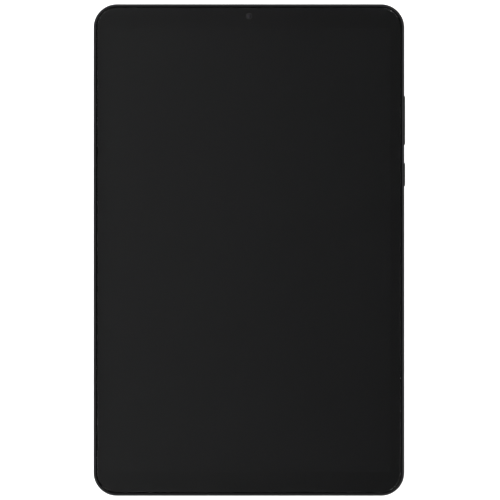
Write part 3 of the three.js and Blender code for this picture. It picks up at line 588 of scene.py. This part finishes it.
seam_low, seam_high = cover_high.y / MM, cap_low.y / MM
cap = put_in_scene("aerial_cap", shell.data.copy())
combine(shell, slab_between("lower", -half_y - BEYOND, seam_low), "INTERSECT")
combine(cap, slab_between("upper", seam_high, half_y + BEYOND), "INTERSECT")
shell.name = "back_shell"
smooth(shell)
smooth(cap)
finish_piece(shell, finish_back, ["back_cover"])
finish_piece(cap, finish_cap, ["antenna_cap"])

# %% [markdown]
# ## The front: glass in a rim
#
# The cover glass is a flat pane with a small rounded edge. Round it runs a dark line, the bonding gasket,
# sunk a little below the glass, and then the rim of the frame, whose outer edge falls away to the side.
# Under the glass lies a black printed border with the display in its window, nearly as dark when switched
# off. Real glass is used here, so that what lies below shows through it as it does on the real thing.

# %% Glass, seen through a thin film of grease
def greasy_glass(name, patches, clean, smeared, rough_high):
    """Clear glass. A film of grease tints it a little and takes off some of its gloss."""
    material, tree, shader, place = start_material(name, Transmission_Weight=1.0, IOR=1.5)
    skin = use_group(tree, grease, {"Vector": place, "Patches per metre": patches})
    dress(tree, shader, skin.outputs["Film"], clean, smeared, 0.0, rough_high)
    return material


finish_glass = greasy_glass("cover_glass_clear", 20.0, (0.97, 0.98, 0.98), (0.94, 0.95, 0.95), 0.035)

# %% The pane
pane_x, pane_y = glass_high.x / MM, glass_high.y / MM
pane_low, pane_high = glass_low.z / MM, glass_high.z / MM
pane_corner = BODY_CORNER - (half_x - pane_x)
EDGE_ROUND = 0.28
pane_profile = (
    [(1.4, pane_low), (0.16, pane_low), (0.1, pane_low), (0.03, pane_low + 0.03), (0.0, pane_low + 0.1)]
    + quarter_round(EDGE_ROUND, pane_high - EDGE_ROUND, EDGE_ROUND, EDGE_ROUND, 180, 90, 8)
    + [(EDGE_ROUND + 0.06, pane_high), (1.4, pane_high)]
)
pane = carried("glass_pane", pane_profile, pane_x, pane_y, pane_corner, steps=28)
smooth(pane)
finish_piece(pane, finish_glass, ["cover_glass"])

# %% The gasket: a strip with a hollow top, as rubber has where it clings to both sides
finish_gasket, gasket_tree, gasket_shader, rubber_grain = clouded(
    "bonding_rubber", 4200.0, 3.0, (0.001, 0.001, 0.001), (0.003, 0.003, 0.003), 0.55, 0.85,
    Specular_IOR_Level=0.02,
)
bump_from(gasket_tree, gasket_shader, rubber_grain, 1e-5)


def heights(node):
    """How low and how high a node reaches, in millimetres."""
    return [corner.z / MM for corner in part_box(node)]


strip_low, strip_high = heights("display_gasket")
strip_x, strip_y = span("display_gasket", "x")[1], span("display_gasket", "y")[1]
strip_width = strip_x - pane_x - 0.05
strip_corner = BODY_CORNER - (half_x - strip_x)
half_strip = strip_width / 2
strip_profile = (
    [(0.0, strip_low), (0.0, strip_high - 0.03), (0.02, strip_high)]
    + quarter_round(half_strip, strip_high, half_strip - 0.02, 0.14, 180, 360, 8)[1:]
    + [(strip_width, strip_high - 0.03), (strip_width, strip_low)]
)
strip = carried("gasket_strip", strip_profile, strip_x, strip_y, strip_corner, steps=28, ring=True)
smooth(strip)
finish_piece(strip, finish_gasket, ["display_gasket"])

# %% Border print and display
finish_print = clouded(
    "black_print", 2500.0, 2.0, (0.0052, 0.0052, 0.0055), (0.0066, 0.0066, 0.0069), 0.5, 0.7,
    Specular_IOR_Level=0.0,
)[0]
finish_display = clouded(
    "display_off", 30.0, 1.0, (0.0076, 0.0076, 0.008), (0.0092, 0.0092, 0.0096), 0.35, 0.45,
    Specular_IOR_Level=0.0,
)[0]
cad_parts["border_mask"].data.materials.clear()
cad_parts["border_mask"].data.materials.append(finish_print)

# %% [markdown]
# ## Keys
#
# Each key is a small bar with round ends that comes out through the wall by less than half a millimetre.
# Its edge is eased so that it feels soft, and its face is slightly crowned. Behind the wall a flange keeps it
# from falling out, and short pegs reach the switches. The bar, flange and pegs are made apart and joined.

# %% One function for both keys
def corners(node):
    """A node's lowest and highest corner, in millimetres."""
    return [np.array(corner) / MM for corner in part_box(node)]


def key_piece(name, node, pegs):
    """A key from its node's box: a crowned bar along x, a flange behind the wall, and round pegs."""
    (x0, y0, z0), (x1, y1, z1) = corners(node)
    middle = ((y0 + y1) / 2, (z0 + z1) / 2)
    half_long, half_tall = (y1 - y0) / 2, (z1 - z0) / 2
    flange_x, ease, crown_rise = x0 + 1.1, 0.26, 0.05
    tip = x1 - crown_rise
    bar_rows = (
        [(0.0, flange_x - 0.3)]
        + quarter_round(ease, tip - ease, ease, ease, 180, 90, 6)
        + [(half_tall * 0.55, tip + crown_rise * 0.8), (half_tall * 0.9, tip + crown_rise)]
    )
    bar = carried(name, bar_rows, half_long - FLANGE_REACH, half_tall, half_tall, middle, "yzx", 14)
    flange_rows = [(0.08, x0 + 0.45), (0.0, x0 + 0.53), (0.0, flange_x - 0.08), (0.08, flange_x)]
    flange = carried("flange", flange_rows, half_long, half_tall, 0.3, middle, "yzx", 4)
    combine(bar, flange, "UNION")
    peg_radius = 0.8
    for offset in pegs:
        peg_rows = [(0.12, x0), (0.0, x0 + 0.12), (0.0, x0 + 0.7)]
        peg_middle = (middle[0] + offset, middle[1])
        peg = carried("peg", peg_rows, peg_radius, peg_radius, peg_radius, peg_middle, "yzx", 6)
        combine(bar, peg, "UNION")
    return smooth(bar)


rocker = key_piece("volume_rocker_bar", "volume_rocker", (-6.0, 6.0))
finish_piece(rocker, finish_key, ["volume_rocker"], "volume_rocker")
power = key_piece("power_key_bar", "power_key", (0.0,))
finish_piece(power, finish_key, ["power_key"], "power_key")

# %% [markdown]
# ## Plain finishes for the parts inside
#
# Inside, most things are moulded plastic, stamped metal, board, film or rubber. Four recipes cover them. A
# moulded skin is a fine noise in colour, gloss and height. Rolled metal has the same noise stretched along
# one direction, which reads as rolling or brushing. Film with conductors shows thin lines along it. Board
# has a lacquer with pads and tracks just under the surface.

# %% Moulded and cast skins
def moulded(name, dark, light, rough_low, rough_high, grains=2400.0, depth=6e-6, metallic=0.0, **plain):
    """A fine noise drives colour, roughness and a shallow bump."""
    material, tree, shader, place = start_material(name, metallic, **plain)
    skin = use_group(tree, blasting, {"Vector": place, "Grains per metre": grains})
    dress(tree, shader, skin.outputs["Fleck"], dark, light, rough_high, rough_low)
    bump_from(tree, shader, skin.outputs["Height"], depth)
    return material


def rolled(name, dark, light, rough_low, rough_high, stretch=(60.0, 1.0, 60.0), depth=2e-6):
    """Metal with its grain drawn out along one direction. stretch says how fine it is along x, y and z."""
    material, tree, shader, place = start_material(name, 1.0)
    drawn = add_node(tree, "ShaderNodeMapping", {"Vector": place, "Scale": stretch})
    grain = noise(tree, drawn.outputs[0], 130.0, 4.0)
    stain = noise(tree, place, 220.0, 3.0)
    both = add_math(tree, "MULTIPLY_ADD", stain, 0.4, add_math(tree, "MULTIPLY", grain, 0.6))
    dress(tree, shader, both, dark, light, rough_low, rough_high)
    bump_from(tree, shader, grain, depth)
    return material


# %% Film and board
def film_with_lines(name, film_dark, film_light, lines_per_metre, axis, line_colour, metallic=0.0):
    """A film with thin conductors along it: a band wave picks where a line shows through."""
    material, tree, shader, place = start_material(name, metallic)
    wave = add_node(
        tree, "ShaderNodeTexWave", {"Vector": place, "Scale": lines_per_metre, "Distortion": 0.0},
        bands_direction=axis,
    )
    line = ramp(tree, wave.outputs["Fac"], 0.62, 0.72)
    cloud = noise(tree, place, 500.0, 3.0)
    base = blend_colours(tree, cloud, film_dark, film_light)
    tree.links.new(blend_colours(tree, line, base, line_colour), shader.inputs["Base Color"])
    tree.links.new(vary(tree, cloud, 0.22, 0.4), shader.inputs["Roughness"])
    bump_from(tree, shader, line, 1.2e-5)
    return material


def lacquered_board(name, lacquer, track, pad):
    """Lacquer over copper: square cells of a cell texture make tracks, a few cells are bare pads."""
    material, tree, shader, place = start_material(name)
    cells_of = add_node(
        tree, "ShaderNodeTexVoronoi", {"Vector": place, "Scale": 620.0, "Randomness": 0.55},
        distance="CHEBYCHEV",
    )
    edge = ramp(tree, cells_of.outputs["Distance"], 0.36, 0.42)
    tone = add_node(tree, "ShaderNodeSeparateColor", {0: cells_of.outputs["Color"]})
    few = add_math(tree, "GREATER_THAN", tone.outputs[0], 0.82)
    centre = add_math(tree, "LESS_THAN", cells_of.outputs["Distance"], 0.28)
    bare = add_math(tree, "MULTIPLY", few, centre)
    lacquer_colour = blend_colours(tree, edge, lacquer, track)
    tree.links.new(blend_colours(tree, bare, lacquer_colour, pad), shader.inputs["Base Color"])
    tree.links.new(bare, shader.inputs["Metallic"])
    tree.links.new(vary(tree, bare, 0.42, 0.25), shader.inputs["Roughness"])
    bump_from(tree, shader, add_math(tree, "ADD", edge, bare), 1.5e-5)
    return material


# %% The finishes inside
finish_black = moulded("black_moulding", (0.006, 0.006, 0.0065), (0.012, 0.012, 0.013), 0.5, 0.7)
finish_chip = moulded("chip_resin", (0.008, 0.008, 0.009), (0.016, 0.016, 0.018), 0.35, 0.5, 3600.0)
finish_pouch = moulded(
    "cell_laminate", (0.3, 0.305, 0.315), (0.42, 0.425, 0.435), 0.28, 0.42,
    grains=420.0, depth=2.5e-5, metallic=0.85,
)
finish_backlight = moulded("reflector_film", (0.72, 0.72, 0.7), (0.84, 0.84, 0.82), 0.35, 0.5, 900.0, 4e-6)
finish_tape = moulded("pale_tape", (0.66, 0.65, 0.62), (0.8, 0.79, 0.76), 0.6, 0.8, 1500.0, 1.2e-5)
finish_steel = rolled("rolled_steel", (0.42, 0.43, 0.44), (0.6, 0.61, 0.62), 0.2, 0.36)
finish_dark_steel = rolled("blackened_steel", (0.03, 0.03, 0.032), (0.07, 0.07, 0.074), 0.35, 0.5)
finish_tin = rolled("tinned_sheet", (0.5, 0.51, 0.52), (0.68, 0.69, 0.7), 0.22, 0.4, (8.0, 8.0, 8.0), 4e-6)
finish_gold = rolled("gilt_contact", (0.62, 0.42, 0.16), (0.86, 0.62, 0.28), 0.16, 0.3)
finish_board = lacquered_board(
    "board_lacquer", lacquer=(0.008, 0.034, 0.02), track=(0.014, 0.055, 0.032), pad=(0.78, 0.58, 0.28)
)
finish_film = film_with_lines(
    "amber_film", (0.24, 0.1, 0.015), (0.34, 0.15, 0.025), 240.0, "X", line_colour=(0.5, 0.25, 0.06)
)
finish_foil = film_with_lines(
    "aerial_foil", (0.42, 0.29, 0.12), (0.5, 0.36, 0.16), 60.0, "X",
    line_colour=(0.16, 0.1, 0.04), metallic=0.8,
)
print(len(bpy.data.materials), "finishes")

# %% [markdown]
# ## Engineering pieces with eased edges
#
# Nothing that is stamped, moulded or milled has a knife edge. The pieces inside are exact already, so they
# are copied, their triangles are merged back into flat faces, and their corners get a small round, all but
# those of the frame and the coaxial lead. The width is chosen by how the thing is made: a battery pouch is
# soft, a shield is bent sheet, a chip is sawn.

# %% One function for all of them
def eased_copy(node, ease):
    """A copy of a node with its flat faces merged and its corners rounded by ease, in millimetres."""
    plan = bmesh.new()
    plan.from_mesh(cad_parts[node].data)
    bmesh.ops.remove_doubles(plan, verts=plan.verts, dist=2e-6)
    bmesh.ops.dissolve_limit(plan, angle_limit=math.radians(0.5), verts=plan.verts, edges=plan.edges)
    bmesh.ops.recalc_face_normals(plan, faces=plan.faces)
    mesh = bpy.data.meshes.new(node + "_eased")
    plan.to_mesh(mesh)
    plan.free()
    if "custom_normal" in mesh.attributes:
        mesh.attributes.remove(mesh.attributes["custom_normal"])
    piece = put_in_scene(node + "_eased", mesh)
    if ease:
        corner_round = piece.modifiers.new("corner_round", "BEVEL")
        corner_round.width = ease * MM
        corner_round.segments = 3
        corner_round.limit_method = "ANGLE"
        corner_round.angle_limit = math.radians(40)
        apply_modifiers(piece)
    return smooth(piece, 40)


# %% What each one is made of, and how soft its corners are
eased_parts = (
    ("front_frame", 0.0, finish_rim, "frame_plastic"),
    ("display_panel", 0.06, finish_display, "panel"),
    ("backlight_unit", 0.08, finish_backlight, "backlight"),
    ("battery", 0.45, finish_pouch, "pouch"),
    ("battery_board", 0.12, finish_board, "board"),
    ("battery_adhesive_left", 0.03, finish_tape, "adhesive"),
    ("battery_adhesive_right", 0.03, finish_tape, "adhesive"),
    ("main_board", 0.05, finish_board, "board"),
    ("sub_board", 0.05, finish_board, "board"),
    ("processor", 0.12, finish_chip, "chip"),
    ("storage_chip", 0.12, finish_chip, "chip"),
    ("processor_shield", 0.08, finish_tin, "tin"),
    ("radio_shield", 0.08, finish_tin, "tin"),
    ("card_socket", 0.08, finish_tin, "tin"),
    ("top_microphone", 0.15, finish_tin, "tin"),
    ("bottom_microphone", 0.15, finish_tin, "tin"),
    ("left_speaker", 0.3, finish_black, "black_plastic"),
    ("right_speaker", 0.3, finish_black, "black_plastic"),
    ("headphone_jack", 0.05, finish_black, "black_plastic"),
    ("vibration_motor", 0.25, finish_steel, "steel"),
    ("volume_up_switch", 0.04, finish_steel, "steel"),
    ("volume_down_switch", 0.04, finish_steel, "steel"),
    ("power_switch", 0.04, finish_steel, "steel"),
    ("key_bracket", 0.05, finish_dark_steel, "dark_steel"),
    ("key_flex", 0.03, finish_film, "polyimide"),
    ("display_flex", 0.02, finish_film, "polyimide"),
    ("main_flex", 0.02, finish_film, "polyimide"),
    ("wifi_antenna", 0.15, finish_foil, "foil"),
    ("coax_cable", 0.0, finish_black, "black_plastic"),
    ("eject_pivot", 0.08, finish_steel, "steel"),
)
for node, ease, finish, slot_name in eased_parts:
    finish_piece(eased_copy(node, ease), finish, [node])
finish_piece(eased_copy("eject_rod", 0.1), finish_tin, ["eject_rod"], "eject_rod")
finish_piece(eased_copy("eject_lever", 0.08), finish_tin, ["eject_lever"], "eject_lever")
finish_piece(eased_copy("card_tray", 0.06), finish_back, ["card_tray"], "card_tray")

# %% [markdown]
# ## Ports
#
# The charging port is a drawn steel shell with a rounded mouth, and inside it a thin board whose two faces
# carry twelve gilt contacts each. The shell is one profile carried round a slot. The contacts are small
# bars, all in one mesh.

# %% Shell of the charging port
shell_y0, shell_y1 = [corner[1] for corner in corners("usb_shell")]
SHEET = 0.3
mouth = SHEET / 2
port_profile = (
    [(0.0, shell_y1), (0.0, shell_y0 + mouth)]
    + quarter_round(mouth, shell_y0 + mouth, mouth, mouth, 180, 360, 8)[1:]
    + [(SHEET, shell_y1)]
)
port_half, port_tall = usb_half, usb_tall
port_middle = (0.0, port_z)
port = carried("port_shell", port_profile, port_half, port_tall, port_tall, port_middle, "xzy", 14, ring=True)
finish_piece(smooth(port), finish_steel, ["usb_shell"])

# %% Tongue and its contacts
tongue_y0, tongue_y1 = [corner[1] for corner in corners("usb_tongue")]
TONGUE_HALF, TONGUE_TALL = 3.345, 0.35
tongue_rows = [(0.14, tongue_y0), (0.04, tongue_y0 + 0.05), (0.0, tongue_y0 + 0.2), (0.0, tongue_y1 - 0.5)]
tongue = carried("port_tongue", tongue_rows, TONGUE_HALF, TONGUE_TALL, 0.12, port_middle, "xzy", 4)
base_half, base_tall = span("usb_tongue", "x")[1], span("usb_tongue", "z")[1]
base_rows = [(0.1, tongue_y1 - 1.0), (0.0, tongue_y1 - 0.9), (0.0, tongue_y1 - 0.1), (0.1, tongue_y1)]
base = carried("port_base", base_rows, base_half, base_tall, base_tall, port_middle, "xzy", 10)
combine(tongue, base, "UNION")
finish_piece(smooth(tongue), finish_black, ["usb_tongue"])

contact_y0, contact_y1 = tongue_y0 + 0.35, tongue_y1 - 1.17
contact_rows = [(0.03, contact_y0), (0.0, tongue_y0 + 0.38), (0.0, tongue_y1 - 1.2), (0.03, contact_y1)]
contact_height = TONGUE_TALL + 0.005
contact_bars = [
    carry(contact_rows, 0.125, 0.03, 0.02, (contact_x, port_z + side * contact_height), "xzy", 2)
    for contact_x in 0.5 * (np.arange(12) - 5.5)
    for side in (-1, 1)
]
contacts = mesh_of("port_contacts", contact_bars)
finish_piece(smooth(contacts), finish_gold, [])

# %% [markdown]
# ## Speaker cloth
#
# Behind each row of holes lies a fine woven wire cloth that keeps dust out. A weave is a height that goes up
# and down in both directions, so that each wire passes over and then under its neighbours. Two such sheets,
# one for each side, are closed along their edges.

# %% A woven sheet as a function of two parameters
def woven_sheet(name, node, pitch=0.32, wave=0.05):
    """Height = wave * cos(pi a / pitch) * cos(pi b / pitch), on both faces, closed along the edge."""
    (x0, y0, z0), (x1, y1, z1) = corners(node)
    a = np.linspace(x0, x1, int((x1 - x0) / pitch * 4) + 1)
    b = np.linspace(z0, z1, int((z1 - z0) / pitch * 4) + 1)
    across, up = np.meshgrid(a, b, indexing="ij")
    lift = wave * np.cos(math.pi * across / pitch) * np.cos(math.pi * up / pitch)
    middle, half = (y0 + y1) / 2, (y1 - y0) / 2 - wave
    front = np.stack([across, middle - half + lift, up], -1)
    back = np.stack([across, middle + half + lift, up], -1)
    rows, count = across.shape
    index = np.arange(rows * count).reshape(rows, count)
    quads = np.stack([index[:-1, :-1], index[1:, :-1], index[1:, 1:], index[:-1, 1:]], -1).reshape(-1, 4)
    rim = np.concatenate([index[:-1, 0], index[-1, :-1], index[:0:-1, -1], index[0, :0:-1]])
    after = np.roll(rim, -1)
    sides = np.stack([rim, rim + rows * count, after + rows * count, after], -1)
    faces = np.concatenate([quads, quads[:, ::-1] + rows * count, sides])
    points = np.concatenate([front.reshape(-1, 3), back.reshape(-1, 3)])
    return smooth(closed_mesh(name, points, faces.tolist()), 60)


for side in ("left", "right"):
    cloth = woven_sheet(side + "_speaker_cloth", side + "_speaker_mesh")
    finish_piece(cloth, finish_dark_steel, [side + "_speaker_mesh"])

# %% [markdown]
# ## Cameras
#
# A camera looks like a set of rings round a dark pupil. From the outside in: a metal ring, a clear window,
# a black stepped funnel that keeps stray light out, and the bulging front lens with its purple coating. All
# of them are profiles carried round a circle. Each centre ends in a tiny flat disc, not in a point.

# %% Lens glass: clear windows and coated lenses
finish_window = greasy_glass("window_glass", 240.0, (0.86, 0.88, 0.9), (0.78, 0.8, 0.82), 0.02)
finish_lens = clouded(
    "coated_lens", 700.0, 1.0, (0.013, 0.012, 0.017), (0.024, 0.02, 0.032), 0.03, 0.08, IOR=1.6
)[0]

# %% A round piece from its radius profile
def turned(name, rows, middle, ring=False, steps=16):
    """A profile of (radius, z) rows turned round an upright line through middle."""
    widest = max(radius for radius, _ in rows)
    profile = [(widest - max(radius, 0.03), z) for radius, z in rows]
    return carried(name, profile, widest, widest, widest, middle, "xyz", steps, ring=ring)


# %% Rear camera
rear = (eye_x, eye_y)
ring_top = span("rear_camera_ring", "z")[0] + span("rear_camera_ring", "z")[1]
ring_rows = (
    [(3.4, ring_top), (3.4, 0.25)]
    + quarter_round(3.65, 0.25, 0.25, 0.25, 180, 270, 8)[1:]
    + quarter_round(4.45, 0.15, 0.15, 0.15, 270, 360, 5)
    + [(4.6, ring_top)]
)
eye_ring = turned("eye_ring", ring_rows, rear, ring=True, steps=24)
finish_piece(smooth(eye_ring), finish_key, ["rear_camera_ring"])

window_low, window_high = heights("rear_camera_window")
window_rows = [
    (0.0, window_low), (2.6, window_low), (3.29, window_low), (3.35, window_low + 0.06),
    (3.35, window_high - 0.06), (3.29, window_high), (2.6, window_high), (0.0, window_high),
]
eye_window = turned("eye_window", window_rows, rear, steps=24)
finish_piece(smooth(eye_window), finish_window, ["rear_camera_window"])

housing_high = heights("rear_camera")[1]
housing_half = span("rear_camera", "x")[1]
housing_rows = [(0.3, 1.75), (0.06, 1.8), (0.0, 1.9), (0.0, housing_high - 0.15), (0.15, housing_high)]
housing = carried("eye_housing", housing_rows, housing_half, housing_half, 0.6, rear, steps=6)
funnel_rows = [
    (0.0, 1.62), (1.2, 1.62), (1.45, 1.6), (1.5, 1.42), (1.95, 1.36), (2.0, 1.18), (2.35, 1.12),
    (2.42, 0.86), (2.5, 0.8), (2.92, 0.8), (3.0, 0.88), (3.0, 2.2), (0.0, 2.2),
]
combine(housing, turned("funnel", funnel_rows, rear, steps=20), "UNION")
finish_piece(smooth(housing), finish_black, ["rear_camera"])
lens_rows = [(0.0, 1.6), (1.42, 1.6), (1.44, 1.52)] + quarter_round(0.0, 1.52, 1.42, -0.42, 0, 90, 12)
finish_piece(smooth(turned("eye_lens", lens_rows, rear, steps=20)), finish_lens, [])

# %% Front camera, under the round window in the border print
selfie = (span("front_camera_lens", "x")[0], span("front_camera_lens", "y")[0])
module_low, module_high = heights("front_camera")
module_half = span("front_camera", "x")[1]
module_rows = [(0.2, module_low), (0.0, module_low + 0.2), (0.0, 4.6), (0.2, 4.8)]
module = carried("front_eye_housing", module_rows, module_half, module_half, 0.5, selfie, steps=5)
barrel_rows = [
    (0.0, 4.0), (2.5, 4.0), (2.5, module_high - 0.1), (2.4, module_high),
    (0.95, module_high), (0.88, module_high - 0.04), (0.72, module_high - 0.25),
    (0.66, module_high - 0.3), (0.0, module_high - 0.3),
]
combine(module, turned("front_barrel", barrel_rows, selfie, steps=20), "UNION")
finish_piece(smooth(module), finish_black, ["front_camera"])
pupil_rows = [(0.0, 5.935), (0.62, 5.935), (0.64, 5.96)] + quarter_round(0.0, 5.96, 0.62, 0.06, 0, 90, 8)
front_lens = turned("front_eye_lens", pupil_rows, selfie)
finish_piece(smooth(front_lens), finish_lens, ["front_camera_lens"])

# %% [markdown]
# ## Screws
#
# Eight small screws hold the boards. The head is a flat dome with a cross recess, pressed in with a punch,
# so the recess is cut with a cross that narrows towards its bottom. One function makes each of the eight
# from its own box in the frame.

# %% One screw, with its cross
def cross_screw(name, node):
    """A screw in its node's box: a turned head and shank, with a tapered cross cut into the head."""
    (x0, y0, z0), (x1, y1, z1) = corners(node)
    middle = ((x0 + x1) / 2, (y0 + y1) / 2)
    head, under, shank = (x1 - x0) / 2, z1 - 0.55, 0.6
    head_first = (
        quarter_round(head - 0.3, z1 - 0.3, 0.3, 0.3, 90, 0, 4)
        + [(head, under + 0.05), (head - 0.05, under), (shank, under)]
        + [(shank, z0 + 0.2), (shank - 0.2, z0), (0.0, z0)]
    )
    screw_body = turned(name, [(0.0, z1), (head - 0.6, z1)] + head_first, middle, steps=8)
    for long_x, long_y in ((0.72, 0.13), (0.13, 0.72)):
        arm_rows = [(0.06, z1 - 0.32), (0.0, z1 - 0.1), (-0.02, z1 + 0.2)]
        arm = carried("arm", arm_rows, long_x, long_y, 0.1, middle, steps=3)
        combine(screw_body, arm, "DIFFERENCE")
    return smooth(screw_body, 40)


for number in range(1, 9):
    node = f"screw_{number}"
    finish_piece(cross_screw(node + "_turned", node), finish_steel, [node])

# %% [markdown]
# ## Floor
#
# The tablet lies on a pale round table of milky acrylic with a faint light under it, as product studios use,
# so that the tablet's own shadow doesn't grey the white round it. The table is wide enough to reach past
# every view, and its tone drifts a little so that it is not one flat colour.

# %% The table top, and the last steps
TABLE_RADIUS = 1400
table_rows = [(4.0, -6.0), (0.0, -5.0), (0.0, -1.0), (1.0, -0.02), (60.0, -0.02)]
floor = carried("floor", table_rows, TABLE_RADIUS, TABLE_RADIUS, TABLE_RADIUS, steps=24)
finish_floor, floor_tree, floor_shader, drift = clouded(
    "pale_floor", 3.0, 2.0, (0.87, 0.87, 0.87), (0.91, 0.91, 0.91), 0.85, 0.95
)
glow = blend_colours(floor_tree, drift, (0.98, 0.98, 0.98), (1.0, 1.0, 1.0))
floor_tree.links.new(glow, floor_shader.inputs["Emission Color"])
floor_shader.inputs["Emission Strength"].default_value = 0.75
floor.data.materials.append(finish_floor)
